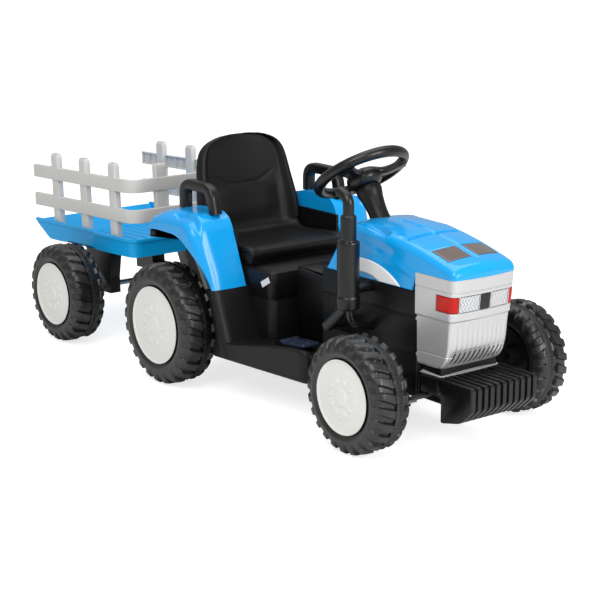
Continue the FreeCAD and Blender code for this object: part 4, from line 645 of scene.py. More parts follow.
# Start of that line behind the front axle, its peak, crown over the width, half width at back and front,
# draw-in at the back, bow of the front, overhang past the grille, back edge behind the axle at foot and peak
BONNET_LOFT_BACK = 0.245
BONNET_PEAK = 0.387
BONNET_CROWN = 0.007
BONNET_HALF_SHARES = (1.0, 0.845)
BONNET_BACK_INSET = 0.008
BONNET_BOW = 0.005
BONNET_OVERHANG = 0.0012
BONNET_RAKE = (0.230, 0.175)
GRILLE_BACK = 0.020
BONNET_CORNER = 0.012
SKIRT_FLARE = (0.010, 0.001)
# Tinted panels, grooves between the panels and scoops, along the tractor and across it
TINT_X = (0.590, 0.636)
TINT_Y = (0.0070, 0.0635)
TINT_GAP = 0.0012
TINT_DEPTH = 0.0012
CROSS_GROOVE_X = 0.527
CROSS_GROOVE_DEPTHS = 1.6
RIM_GROOVE_DEPTHS = 0.7
GROOVE_SOFT = 0.0022
PANEL_Y = 0.0685
SCOOP_AT = (0.432, 0.074)
SCOOP_HALF = (0.054, 0.018)
# The bare sticker's upper and lower curve: start, pull and end, along the tractor and up
SWOOSH_CURVES = (((0.398, 0.3275), (0.478, 0.3330), (0.5255, 0.2915)),
                 ((0.398, 0.3010), (0.440, 0.3040), (0.4640, 0.2915)))
STICKER_GAP = 0.0006
# Dimple and crease on the bonnet's side: height or depth, with the dimple's middle and reach
SIDE_CREASE = 0.0012
SIDE_DIMPLE = 0.0050
DIMPLE_AT = (0.470, 0.345)
DIMPLE_REACH = (0.030, 0.016)


def bonnet_line(x, foot, front):
    """Height of the bonnet's shoulders along its length."""
    along, tall = np.array(BONNET_LINE_SHARES).T
    start = FRONT_X - BONNET_LOFT_BACK
    return smooth_line(start + along * (front - start), foot + tall * (BONNET_PEAK - foot), x)


def bonnet_half(x, back, front):
    """Half width of the bonnet, drawn in by a quarter round at the front corners."""
    full = low_high("bonnet")[1][1]
    wide = (full * np.interp(x, (back, front), BONNET_HALF_SHARES)
            - np.interp(x, (back, front), (BONNET_BACK_INSET, 0.0)))
    over = np.clip((x - (front - BONNET_CORNER)) / BONNET_CORNER, 0, 1)
    return wide - BONNET_CORNER * (1 - quarter(over))


def bonnet_relief(x, y):
    """Depth of the grooves, the tinted panels' seats and the shoulder scoops at a place seen from above."""
    size = sizes()
    across = np.abs(y)
    along = ease(0.415, 0.430, x) * (1 - ease(0.640, 0.646, x))
    centre = bump(across, 0.0, 0.0028, GROOVE_SOFT) * along
    cross = bump(x, CROSS_GROOVE_X, 0.0034, GROOVE_SOFT) * (1 - ease(PANEL_Y - 0.002, PANEL_Y, across))
    rim = bump(across, PANEL_Y, 0.0024, GROOVE_SOFT) * ease(0.505, 0.515, x) * (1 - ease(0.632, 0.640, x))
    tint = (bump(x, sum(TINT_X) / 2, (TINT_X[1] - TINT_X[0]) / 2, 0.002)
            * bump(across, sum(TINT_Y) / 2, (TINT_Y[1] - TINT_Y[0]) / 2, 0.002))
    reach = np.sqrt(((x - SCOOP_AT[0]) / SCOOP_HALF[0]) ** 2 + ((across - SCOOP_AT[1]) / SCOOP_HALF[1]) ** 2)
    deeper = ease(SCOOP_AT[0] - SCOOP_HALF[0], SCOOP_AT[0] + SCOOP_HALF[0] * 0.8, x)
    scoop = (1 - ease(0.80, 1.0, reach)) * deeper
    grooves = np.maximum.reduce((centre, cross * CROSS_GROOVE_DEPTHS, rim * RIM_GROOVE_DEPTHS))
    return size.groove * grooves + TINT_DEPTH * tint + size.scoop * scoop


def bonnet_ends():
    """Foot height, front end, and the back edge at the foot and at the peak."""
    low, high = low_high("bonnet")
    return low[2], high[0] + BONNET_OVERHANG, *(FRONT_X - r for r in BONNET_RAKE)


def bonnet_place(u, v, z):
    """Point at shares along and across, drawn between the raked back edge and the bowed front."""
    foot, front, rake_low, rake_high = bonnet_ends()
    back = rake_low + (z - foot) * (rake_high - rake_low) / (BONNET_PEAK - foot)
    return back + (front - BONNET_BOW * v ** 2 - back) * u


def side_crease(x, z):
    """Height of the soft crease that falls forward along the bonnet's side."""
    return SIDE_CREASE * bump(z, 0.334 - 0.25 * (x - 0.50), 0.0012, 0.010) * ease(0.40, 0.44, x)


def bonnet_patches():
    """The top is a height over the plan, rounded off at the edges, and a skirt drops from its edge line.

    Along the bonnet and across it the grid closes up towards the edges as a sine does.
    """
    size = sizes()
    foot, front, rake_low, rake_high = bonnet_ends()
    u = np.sin(np.linspace(0, 1, 210) * math.pi / 2)[:, None]
    v = np.sin(np.linspace(-1, 1, 181) * math.pi / 2)[None]
    x_flat = rake_high + (front - rake_high) * u
    half = bonnet_half(x_flat, rake_low, front)
    y = half * v
    tiny = 1e-7
    from_side, from_front = np.maximum(half * (1 - np.abs(v)), tiny), np.maximum(front - x_flat, tiny)
    near = (from_side ** -3.0 + from_front ** -3.0) ** (-1 / 3)
    inside = np.clip(near, 0, size.edge)
    fall = size.edge - np.sqrt(size.edge ** 2 - (size.edge - inside) ** 2)
    z = bonnet_line(x_flat, foot, front) + BONNET_CROWN * (1 - v ** 2) - fall
    z = z - bonnet_relief(x_flat + 0 * y, y) * ease(0.0, 0.012, near)
    top = spread(bonnet_place(u, v, z), y, z)

    edge_line = np.vstack((top[:, 0], top[-1, 1:-1], top[::-1, -1]))
    u_edge = np.concatenate((u[:, 0], np.ones(top.shape[1] - 2), u[::-1, 0]))
    v_edge = np.concatenate((np.full(len(u), -1.0), v[0, 1:-1], np.full(len(u), 1.0)))
    base = np.where(edge_line[:, 0] < FRONT_X + GRILLE_BACK, foot, low_high("front_grille")[1][2])
    down = np.linspace(0, 1, 26)[:, None]
    skirt_z = edge_line[None, :, 2] + (base - edge_line[:, 2])[None] * down
    flare = np.interp(edge_line[:, 0], (rake_low, front), SKIRT_FLARE)
    side = np.where(np.abs(v_edge) > 0.9999, np.sign(v_edge), 0.0)
    drop_share = (edge_line[None, :, 2] - skirt_z) / (BONNET_PEAK - foot)
    skirt_y = edge_line[None, :, 1] + side * flare * drop_share
    skirt_x = bonnet_place(u_edge[None], v_edge[None], skirt_z)
    dimple = np.exp(-((skirt_x - DIMPLE_AT[0]) / DIMPLE_REACH[0]) ** 2
                    - ((skirt_z - DIMPLE_AT[1]) / DIMPLE_REACH[1]) ** 2)
    skirt_y = skirt_y - side * (SIDE_DIMPLE * dimple - side_crease(skirt_x, skirt_z)) * ease(0, 0.12, down)
    return [patch(top), patch(spread(skirt_x, skirt_y, skirt_z))]


def skirt_half(x, z):
    """Half width of the bonnet's side at a place seen from the side."""
    low, high = low_high("bonnet")
    rake_low = FRONT_X - BONNET_RAKE[0]
    edge_z = bonnet_line(x, low[2], high[0]) - sizes().edge
    flare = np.interp(x, (rake_low, high[0]), SKIRT_FLARE)
    return (bonnet_half(x, rake_low, high[0]) + flare * np.clip(edge_z - z, 0, None) / (BONNET_PEAK - low[2])
            + side_crease(x, z))


def swoosh_patch(side):
    """The bare sticker: a band between two curves, laid just off the bonnet's side."""
    t = np.linspace(0, 1, 40)[:, None]
    w = np.linspace(0, 1, 8)[None, :, None]
    upper, lower = (parabola(*curve, t)[:, None] for curve in SWOOSH_CURVES)
    x, z = np.moveaxis(upper * (1 - w) + lower * w, -1, 0)
    return patch(spread(x, side * (skirt_half(x, z) + STICKER_GAP), z))


def tint_patches():
    """Tinted panels: the bonnet's own height over a rectangle of the plan, a little below its skin."""
    foot, front, rake_low, rake_high = bonnet_ends()
    x = np.linspace(TINT_X[0] + TINT_GAP, TINT_X[1] - TINT_GAP, 16)[:, None]
    y = np.linspace(TINT_Y[0] + TINT_GAP, TINT_Y[1] - TINT_GAP, 16)[None]
    v = y / bonnet_half(x, rake_low, front)
    z = bonnet_line(x, foot, front) + BONNET_CROWN * (1 - v ** 2) - 0.0004
    along = bonnet_place((x - rake_high) / (front - rake_high), v, z)
    plate = spread(along, y, z)
    return [patch(plate), patch(plate * (1, -1, 1))]


class TRACTOR_OT_bonnet(bpy.types.Operator):
    """Blue bonnet with grooved panels, tinted panels, shoulder scoops and a bare sticker on each side"""
    bl_idname = "tractor.bonnet"
    bl_label = "Bonnet"

    def execute(self, context):
        tint = plastic("tint_panel", colours().tint, (0.10, 0.16), 600.0, 0.02, coat=0.7)
        sticker = plastic("bare_sticker", colours().decal, (0.22, 0.30), 400.0, 0.02, coat=0.3, mottle=0.01)
        stickers = [swoosh_patch(side) for side in SIDES.values()]
        piece("bonnet_moulding", bonnet_patches(), "chassis", "blue_plastic", ("bonnet",), 60, SHELL_WALL)
        piece("bonnet_tinted_panels", tint_patches(), "chassis", "black_trim", wall=INLAY_WALL, finish=tint)
        piece("bonnet_side_stickers", stickers, "chassis", "cover_white", wall=FILM_WALL, finish=sticker)
        return {"FINISHED"}


# Grille and front weight

# Spacing of the ribs, plan corner, slots at the foot: height, half length and lean; depth of a lamp seat
GRILLE_PITCH = 0.0125
GRILLE_CORNER = 0.013
SLOTS_EACH_SIDE = 5
SLOT_RISE = 0.0205
SLOT_HALF = 0.0105
SLOT_LEAN = 0.35
LENS_SEAT = 0.0034
# Up the grille, as shares of its height: how far its front stands back from the top edge
GRILLE_RAKE = ((0.0, 0.034), (0.05, 0.026), (0.10, 0.0200), (0.17, 0.0155), (0.45, 0.0090), (0.75, 0.0035),
               (1.0, 0.0))
# Narrowing of the grille at its foot, as a share of the width, and how its back edge reaches past the CAD's
GRILLE_TAPER = 0.026
GRILLE_REACH = (0.0045, 0.0040)
# Half width of the ribbed face and of its soft edge, where the ribs start, the step under the lamp row, the
# fine lines, the lip at the foot and the slots' depth
RIBBED_HALF = (0.062, 0.066)
RIBS_FROM = 0.034
LAMP_STEP = 0.0024
LAMP_STEP_BELOW = 0.018
FINE_LINE = 0.0009
FOOT_LIP = 0.0030
SLOT_DEPTH = 0.0042
PLAQUE_HALF = 0.0130
LAMP_GAP = 0.0012
CORNER_LAMP_GAP = 0.002


class GrilleLine:
    """Plan line of the grille from its right back edge round the bowed front to its left back edge."""

    def __init__(self):
        self.low, self.high = low_high("front_grille")
        half, front = self.high[1], self.high[0]
        self.back = self.low[0] - GRILLE_REACH[0]
        flare = half + GRILLE_REACH[1]
        corners = ((self.back, -flare), (front, -half), (front, half), (self.back, flare))
        line = spaced(bent(corners, GRILLE_CORNER, 10), 461)
        line[:, 0] -= BONNET_BOW * (line[:, 1] / half) ** 2 * (line[:, 0] - self.back) / (front - self.back)
        self.line = line
        self.away = beside(line)
        run = np.concatenate(([0], np.cumsum(np.linalg.norm(np.diff(line, axis=0), axis=1))))
        self.run = run - run[-1] / 2

    def at_half(self, y):
        """Run from the middle of the front to a distance from the centre plane."""
        ahead = self.run >= 0
        return np.interp(y, self.line[ahead, 1], self.run[ahead])

    def at_side(self, x):
        """Run from the middle of the front to a place along the side."""
        ahead = self.run >= 0
        return np.interp(-x, -self.line[ahead, 0], self.run[ahead])

    def points(self, run, z, out):
        """Points at runs and heights, moved out along the plan line's normals."""
        share = (z - self.low[2]) / (self.high[2] - self.low[2])
        stand_back = smooth_line(*np.array(GRILLE_RAKE).T, share)
        x, y, away_x, away_y = (np.interp(run, self.run, column) for column in (*self.line.T, *self.away.T))
        x = x - stand_back * (x - self.back) / (self.high[0] - self.back)
        y = y * (1 - GRILLE_TAPER * (1 - share))
        return spread(x + away_x * out, y + away_y * out, z)


def lamp_spans(grille):
    """Runs along the grille of the plaque's edge, a head lamp's two ends and a corner lamp's two ends."""
    head_high = low_high("headlamp_lenses")[1]
    lamp_low = low_high("corner_lamps")[0]
    plaque = grille.at_half(PLAQUE_HALF)
    head = grille.at_half(PLAQUE_HALF + LAMP_GAP), grille.at_half(head_high[1])
    corner = grille.at_half(head_high[1] + CORNER_LAMP_GAP), grille.at_side(lamp_low[0])
    return plaque, head, corner


def inlay_patch(grille, start, end, proud, soft):
    """A cushion let into the lamp row between two runs: flat in the middle, falling off round its border."""
    low, high = low_high("headlamp_lenses")
    run = np.linspace(start, end, 40)[None]
    z = np.linspace(low[2], high[2], 24)[:, None]
    border = np.minimum(np.minimum(run - start, end - run), np.minimum(z - low[2], high[2] - z))
    out = proud - (LENS_SEAT + 0.0004) * (1 - ease(-0.0001, soft, border))
    return patch(grille.points(run, z, out))


def slot_patches(grille):
    """Dark slanted strips at the bottom of the grille's slots."""
    parts = []
    u = np.linspace(-1, 1, 9)[:, None]
    v = np.linspace(-1, 1, 3)[None]
    for step in range(-SLOTS_EACH_SIDE, SLOTS_EACH_SIDE + 1):
        z = grille.low[2] + SLOT_RISE + SLOT_HALF * u
        run = step * GRILLE_PITCH + SLOT_LEAN * SLOT_HALF * u + GRILLE_PITCH * 0.19 * v
        parts.append(patch(grille.points(run, z, -SHELL_WALL)))
    return parts


def grille_patches(grille):
    """The plan line carried up the raked front, moved out or in by ribs, slots, lips and lamp seats."""
    size = sizes()
    lamp_low, lamp_high = low_high("headlamp_lenses")
    bottom, top = grille.low[2], grille.high[2]
    z = np.linspace(bottom, top, 190)[:, None]
    run = grille.run[None]
    far = np.abs(run)
    on_face = 1 - ease(*(grille.at_half(y) for y in RIBBED_HALF), far)
    flutes = 0.5 + 0.5 * np.cos(TAU * run / GRILLE_PITCH)
    upper = lamp_low[2] - LAMP_STEP_BELOW
    ribbed = ease(bottom + RIBS_FROM, bottom + RIBS_FROM + 0.006, z) * (1 - ease(upper - 0.004, upper, z))
    ribs = size.grille_rib * flutes * on_face * ribbed * (1 - 0.8 * ease(bottom + 0.045, upper, z))
    leaning = np.cos(TAU * (run - SLOT_LEAN * (z - bottom - SLOT_RISE)) / GRILLE_PITCH)
    slots = (ease(0.30, 0.62, leaning) * (far < GRILLE_PITCH * (SLOTS_EACH_SIDE + 0.5)) * on_face
             * bump(z, bottom + SLOT_RISE, SLOT_HALF, 0.002))
    step = LAMP_STEP * (1 - ease(upper, upper + 0.0035, z))
    line = FINE_LINE * (bump(z, lamp_high[2] + 0.0075, 0.0005, FINE_LINE)
                        + bump(z, bottom + 0.0255, 0.0005, FINE_LINE) * (1 - on_face))
    lip = FOOT_LIP * (1 - ease(bottom, bottom + 0.005, z))
    plaque, head, corner = lamp_spans(grille)
    in_row = ease(lamp_low[2] - 0.0007, lamp_low[2], z) * (1 - ease(lamp_high[2], lamp_high[2] + 0.0007, z))
    in_lamp = ((far > head[0]) & (far < head[1])) | ((far > corner[0]) & (far < corner[1]))
    seat = in_row * ((far < plaque) | in_lamp)
    out = ribs - SLOT_DEPTH * slots - step - line - lip - LENS_SEAT * seat
    return [patch(grille.points(run, z, out))]


# Cheeks of the front weight beside the nose: start and end ahead of the axle, inner and outer half, bottom
WEIGHT_CHEEK = (0.036, 0.084, 0.064, 0.083, 0.1025)
CHEEK_EDGE = 0.004


def cheek_patch(side):
    """A rounded block beside the nose that carries the weight back under the grille."""
    start, end, inner, outer, bottom = WEIGHT_CHEEK
    near, far = sorted((side * inner, side * outer))
    top = low_high("front_weight")[1][2]
    return soft_box((FRONT_X + start, near, bottom), (FRONT_X + end, far, top), CHEEK_EDGE, CHEEK_EDGE)


# Gap between grille and front weight, its upper band black as painted shade: share of its height the silver
# lip takes, its depth, the lip's foot
FOOT_LIP_SHARE = 0.42
FOOT_DEPTH = 0.009
FOOT_FLARE = -0.0005
FOOT_CLEAR = 0.0008


def foot_patch(grille, low, high, flare):
    """A band in the gap under the grille between two shares of its height; its foot flares out as a cove."""
    weight_top = low_high("front_weight")[1][2]
    run = grille.run[grille.line[:, 0] > FRONT_X + WEIGHT_CHEEK[0]][None]
    turn = np.linspace(0, math.pi / 2, 9)[:, None]
    rise = grille.low[2] - weight_top
    out = -FOOT_DEPTH + (FOOT_DEPTH + flare) * (1 - np.cos(turn))
    points = grille.points(run, grille.low[2], out)
    points[..., 2] = weight_top + FOOT_CLEAR + rise * (low + (high - low) * (1 - np.sin(turn)))
    return patch(points)


# Front weight: plate thickness, half of it that stays flat, soft edge of a groove, chamfer of the end plates
PLATE_THICK = 0.0095
PLATE_FLAT = 0.0040
PLATE_SOFT = 0.0018
PLATE_CHAMFER = 0.0012


def weight_patches():
    """A side outline carried across, drawn in by grooves between the plates, and two cheeks."""
    size = sizes()
    low, high = low_high("front_weight")
    back, step, keel = (FRONT_X + ahead for ahead in (0.080, 0.092, 0.145))
    outline = bent(((back, 0.102), (step, 0.102), (step, low[2]), (keel, 0.066), (high[0], 0.094),
                    (high[0], high[2]), (back, high[2])),
                   (0.001, 0.002, 0.006, 0.010, 0.006, 0.005, 0.001), 5, closed=True)
    outline = spaced(outline, 150, closed=True)
    pitch = (high[1] - low[1] - PLATE_THICK) / (size.plates - 1)
    y = np.linspace(low[1], high[1], 401)
    from_plate = np.abs((y - low[1] - PLATE_THICK / 2 + pitch / 2) % pitch - pitch / 2)
    inset = size.plate_groove * ease(PLATE_FLAT, PLATE_FLAT + PLATE_SOFT, from_plate)
    inset[[0, -1]] = PLATE_CHAMFER
    return [raised(outline, y, inset, axes=(0, 2, 1)), *(cheek_patch(side) for side in SIDES.values())]


class TRACTOR_OT_grille(bpy.types.Operator):
    """Silver grille with ribs, slots and lamp row, and the ribbed front weight"""
    bl_idname = "tractor.grille"
    bl_label = "Grille and weight"

    def execute(self, context):
        grille = GrilleLine()
        painted_shade_band = foot_patch(grille, FOOT_LIP_SHARE, 1.0, -FOOT_DEPTH)
        lip = foot_patch(grille, 0.0, FOOT_LIP_SHARE, FOOT_FLARE)
        plaque, head, corner = lamp_spans(grille)
        piece("front_grille_moulding", grille_patches(grille), "chassis", "silver_plastic",
              ("front_grille",), 30, SHELL_WALL)
        # Painted shade: the recessed band above the silver lip is black trim, standing in for the shadow in
        # the gap under the grille
        piece("grille_gap_painted_shade", [painted_shade_band], "chassis", "black_trim", wall=INLAY_WALL)
        piece("grille_foot", [lip], "chassis", "silver_plastic", wall=INLAY_WALL)
        piece("grille_slot_backs", slot_patches(grille), "chassis", "black_trim", wall=SHEET_WALL)
        inlays = (("grille_bare_plaque", ((-plaque, plaque),), "black_trim", (), -0.0010, 0.0012),
                  ("headlamp_lenses_moulding", (head, (-head[1], -head[0])), "clear_lens",
                   ("headlamp_lenses",), -0.0002, 0.0016),
                  ("corner_lamps_moulding", (corner, (-corner[1], -corner[0])), "red_lens",
                   ("corner_lamps",), 0.0006, 0.0024))
        for name, spans, slot, stands_for, proud, soft in inlays:
            patches = [inlay_patch(grille, *span, proud, soft) for span in spans]
            piece(name, patches, "chassis", slot, stands_for, wall=INLAY_WALL)
        piece("front_weight_moulding", weight_patches(), "chassis", "black_trim", ("front_weight",), 50)
        return {"FINISHED"}


# Body

# Walls of the nose, the seat box and the footboards above the body's foot: height, draw-in at that height
NOSE_WALL = ((0.165, 0.0), (0.168, 0.0015), (0.172, 0.0015), (0.175, 0.0), (0.234, 0.0), (0.2365, 0.0022),
             (0.239, 0.0022), (0.2415, 0.0), (0.285, 0.0), (0.290, 0.003))
BOX_WALL = ((0.198, 0.0), (0.2005, 0.0016), (0.203, 0.0016), (0.2055, 0.0), (0.250, 0.0), (0.257, 0.003),
            (0.260, 0.010))
BOARD_WALL = ((0.108, 0.001), (0.1135, 0.0025), (0.117, 0.005), (0.119, 0.0085), (0.120, 0.013))
BODY_FOOT = 0.004
# Right half of the nose in plan, from the front axle
NOSE_PLAN = ((-0.245, -0.092), (0.020, -0.079), (0.020, -0.0715), (0.080, -0.0715))
BOX_HALF = 0.129
FILLER_HALF = 0.1356
TUNNEL_HALF = 0.060
TUNNEL_TOP = 0.2585
TUNNEL_EDGE = 0.014
BOARD_HALF = (0.217, 0.190)
# Pillars before the rear wheels: inner and outer half, plan depth, top, rounding at the foot
PILLAR_HALF = (0.100, 0.219)
PILLAR_DEPTH = 0.050
PILLAR_TOP = 0.221
PILLAR_FOOT = 0.012
# Kerbs on the footboards: foot, width, top at the back and its rise, outer half at the back and its draw-in
KERB_FOOT = 0.092
KERB_WIDE = 0.014
KERB_TOP = (0.119, 0.029)
KERB_HALF = (0.2164, 0.0255)


def pillar_patch(side, bottom):
    """A plan with a large outer front rounding carried up a leaning wall."""
    inner, outer = PILLAR_HALF
    lower = np.linspace(bottom, bottom + PILLAR_FOOT, 5)
    z = np.concatenate((lower, np.linspace(0.100, PILLAR_TOP, 28)))[:, None]
    front = REAR_X + np.interp(z, (bottom, PILLAR_TOP), (0.196, 0.146))
    back = REAR_X + np.interp(z, (bottom, 0.128, PILLAR_TOP), (0.154, 0.150, 0.122))
    below = np.clip(bottom + PILLAR_FOOT - z, 0, None)
    foot = PILLAR_FOOT - np.sqrt(np.clip(PILLAR_FOOT ** 2 - below ** 2, 0, None))
    run, y = oblong((0.0, inner), (PILLAR_DEPTH, outer), (0.002, 0.002, 0.036, 0.008), 10).T
    x = back + (front - foot - back) * run[None] / PILLAR_DEPTH
    y = y[None] - foot * (y > (inner + outer) / 2)[None]
    return patch(spread(x, side * y, z), ring=True, caps=(-1,))


def kerb_patch(side):
    """A rounded bar along a footboard's outer edge, higher towards the front."""
    back, front = REAR_X + 0.150, FRONT_X - 0.169
    x = np.linspace(back, front, 60)[:, None]
    share = (x - back) / (front - back)
    round_end = quarter(np.clip((share - 0.92) / 0.08, 0, 1))
    edge = KERB_HALF[0] - KERB_HALF[1] * share - 0.016 * (1 - round_end)
    top = KERB_TOP[0] + KERB_TOP[1] * ease(0.0, 0.9, share) * (0.5 + 0.5 * round_end)
    section = bent(((0.0, 0.0), (0.0, 1.0), (-1.0, 1.0), (-1.0, 0.0)), (0.0, 0.14, 0.14, 0.0), 6, closed=True)
    across, up = section.T
    points = spread(x, side * (edge + KERB_WIDE * across), KERB_FOOT + (top - KERB_FOOT) * up)
    return patch(points, ring=True, caps=(0, -1))


def body_patches():
    """Nose, tunnel, seat box, footboards and pillars, each a rounded outline carried up a wall line."""
    bottom = low_high("lower_body")[0][2]
    right = np.array(NOSE_PLAN) + (FRONT_X, 0.0)
    nose = bent(np.vstack((right, right[::-1] * (1, -1))), 0.004, 3, closed=True)
    box = oblong((REAR_X - 0.084, -BOX_HALF), (REAR_X + 0.222, BOX_HALF), (0.012, 0.018, 0.018, 0.012), 6)
    wide, narrow = BOARD_HALF
    boards = bent(((REAR_X + 0.138, -wide), (FRONT_X - 0.165, -narrow),
                   (FRONT_X - 0.165, narrow), (REAR_X + 0.138, wide)),
                  (0.004, 0.022, 0.022, 0.004), 6, closed=True)
    foot = ((bottom, BODY_FOOT), (bottom + BODY_FOOT, 0.0))
    parts = [raised(outline, *zip(*foot, *wall), caps=(-1,))
             for outline, wall in ((nose, NOSE_WALL), (box, BOX_WALL), (boards, BOARD_WALL))]
    tunnel = oblong((REAR_X + 0.20, -TUNNEL_HALF), (FRONT_X - 0.235, TUNNEL_HALF), 0.004, 3)
    parts.append(raised(tunnel, *soft_ends(bottom, TUNNEL_TOP, TUNNEL_EDGE, both=False), caps=(-1,)))
    for side in SIDES.values():
        near, far = sorted((side * BOX_HALF, side * FILLER_HALF))
        parts += [pillar_patch(side, bottom), kerb_patch(side),
                  soft_box((REAR_X - 0.073, near, 0.240), (REAR_X + 0.112, far, 0.330), 0.001, 0.002)]
    return parts


class TRACTOR_OT_body(bpy.types.Operator):
    """Black lower body with nose, tunnel, seat box, footboards and pillars"""
    bl_idname = "tractor.body"
    bl_label = "Body"

    def execute(self, context):
        piece("lower_body_moulding", body_patches(), "chassis", "black_body", ("lower_body",), 34, SHELL_WALL)
        return {"FINISHED"}


# Fenders and handles

# Fender: draw-in at its apron's foot, middle and half size of its scoop from the rear axle, gap of its lining
FENDER_TAPER = 0.018
FENDER_SCOOP_AT = (0.054, 0.216)
FENDER_SCOOP_HALF = (0.050, 0.0130)
LINING_GAP = 0.0012
HANDLE_TUBE = 0.0222


def fender_lines():
    """Outer line and arch line of a fender from the side, with the distance and the way between them."""
    low, high = low_high("fender_right")
    tail = low[0]
    upper = bent(((tail, 0.314), (tail + 0.002, 0.346), (tail + 0.046, high[2] - 0.002),
                  (REAR_X + 0.088, high[2]), (REAR_X + 0.146, low[2])), (0, 0.014, 0.030, 0.034, 0), 10)
    arch = bent(((tail + 0.006, 0.318), (REAR_X - 0.040, 0.322), (REAR_X + 0.046, 0.322),
                 (REAR_X + 0.096, 0.288), (REAR_X + 0.138, low[2])), (0, 0.010, 0.050, 0.045, 0), 10)
    upper, arch = spaced(upper, 130), spaced(arch, 130)
    thickness = np.linalg.norm(arch - upper, axis=1, keepdims=True)
    return upper, arch, thickness, (arch - upper) / thickness


def fender_patches(side):
    """A rounded section between the outer line and the arch line, carried from the tail to the apron foot.

    At each step the section runs out along the top, round the outer edge, down the side to the arch,
    back in under it, and up the inner face.
    """
    size = sizes()
    low, high = low_high("fender_right")
    inner, outer = -high[1], -low[1]
    upper, _, thickness, inward = fender_lines()
    run = np.linspace(0, 1, len(upper))[:, None]
    on_apron = ease(0.45, 0.75, run)
    outer = outer - FENDER_TAPER * ease(0.55, 1.0, run)
    wide_edge = size.fender_edge * (1 - 0.25 * on_apron)
    deep_edge = np.minimum(wide_edge * (0.56 + 0.44 * on_apron), (0.62 + 0.23 * on_apron) * thickness)
    top = np.linspace(0, 1, 30)[None]
    turn = np.linspace(0, math.pi / 2, 25)[None, 1:]
    wall = np.linspace(0, 1, 10)[None]
    under = np.linspace(0, 1, 6)[None, 1:]
    up = np.linspace(0.9, 0.1, 4)[None]
    depth = np.hstack((inner + (outer - wide_edge - inner) * top, outer - wide_edge * (1 - np.sin(turn)),
                       outer + 0 * wall, outer + (inner - outer) * under, inner + 0 * thickness * up))
    down = np.hstack((0 * thickness * top, deep_edge * (1 - np.cos(turn)),
                      deep_edge + (thickness - deep_edge) * wall, thickness + 0 * under, thickness * up))
    x = upper[:, :1] + inward[:, :1] * down
    away = np.hypot((x - REAR_X - FENDER_SCOOP_AT[0]) / FENDER_SCOOP_HALF[0],
                    (depth - FENDER_SCOOP_AT[1]) / FENDER_SCOOP_HALF[1])
    on_top = (np.arange(depth.shape[1]) < top.size + turn.size - 1)[None]
    down = down + size.fender_scoop * (1 - ease(0.60, 1.0, away)) * on_top
    x = upper[:, :1] + inward[:, :1] * down
    z = upper[:, 1:] + inward[:, 1:] * down
    return [patch(spread(x, side * depth, z), ring=True, caps=(0, -1))]


def liner_patches(side):
    """A thin lining that follows the arch line under a fender, and a wall that hangs under its tail.

    The wall's lower edge falls towards the seat.
    """
    low, high = low_high("fender_right")
    _, arch, _, inward = fender_lines()
    line = (arch + inward * LINING_GAP)[3:-3]
    y = side * np.linspace(-high[1] + 0.001, -low[1] - 0.005, 6)[None]
    lining = spread(line[:, :1], y, line[:, 1:])
    foot = np.linspace(0.280, 0.301, 6)[None]
    hang = foot + (0.316 - foot) * np.linspace(0, 1, 4)[:, None]
    wall = spread(low[0] + 0.0085, y, hang)
    return [patch(lining), patch(wall)]


def handle_patches(side):
    """A rounded square section carried along a bent line over the fender."""
    low, high = low_high("grab_handle_right")
    half = HANDLE_TUBE / 2
    y = side * abs(middle("grab_handle_right")[1])
    foot = low[2] - 0.004
    path = bent(((low[0] + half, y, foot), (low[0] + half, y, high[2] - half),
                 (REAR_X + 0.070, y, high[2] - half), (high[0] - half * 1.24, y, foot)),
                (0, 0.026, 0.030, 0), 10)
    return [rod(oval(half, half * 1.06, 4.0, 28), spaced(path, 90), (0.0, 1.0, 0.0))]


class TRACTOR_OT_fenders(bpy.types.Operator):
    """Blue rear fenders and their black grab handles"""
    bl_idname = "tractor.fenders"
    bl_label = "Fenders and handles"

    def execute(self, context):
        for name, side in SIDES.items():
            piece(f"fender_{name}_moulding", fender_patches(side), "chassis", "blue_plastic",
                  (f"fender_{name}",), 50)
            piece(f"fender_{name}_lining", liner_patches(side), "chassis", "black_trim", wall=SHEET_WALL)
            piece(f"grab_handle_{name}_tube", handle_patches(side), "chassis", "black_trim",
                  (f"grab_handle_{name}",), 50)
        return {"FINISHED"}


# Seat

# Below the top of the seat back, in metres along it: share of the half width
SEAT_TOP_SHARES = ((0.0, 0.14), (0.001, 0.27), (0.003, 0.39), (0.006, 0.49), (0.010, 0.585), (0.015, 0.675),
                   (0.021, 0.745), (0.028, 0.800), (0.036, 0.840), (0.046, 0.872), (0.060, 0.900),
                   (0.080, 0.925), (0.110, 0.952), (0.150, 0.985), (0.180, 1.0))
# From the front lip to the top, as shares of the length: share of the seat's thickness
SEAT_THICK_SHARES = ((0, 0.25), (0.03, 0.42), (0.08, 0.62), (0.3, 0.95), (0.5, 0.95), (0.9, 0.78), (1, 0.42))
# Heights of the pan under the cushion and its draw-in at each
SEAT_PAN_WALL = ((0.2585, 0.006), (0.2605, 0.004), (0.2650, 0.004), (0.2662, 0.006), (0.2680, 0.006),
                 (0.2692, 0.0015), (0.2840, 0.0015), (0.2880, 0.006))
SEAT_ROLL = 0.011
SEAT_DISH = 0.007
SEAT_SEAM = 0.0022
SEAT_LUMBAR = 0.0045
SEAT_WING = 0.010


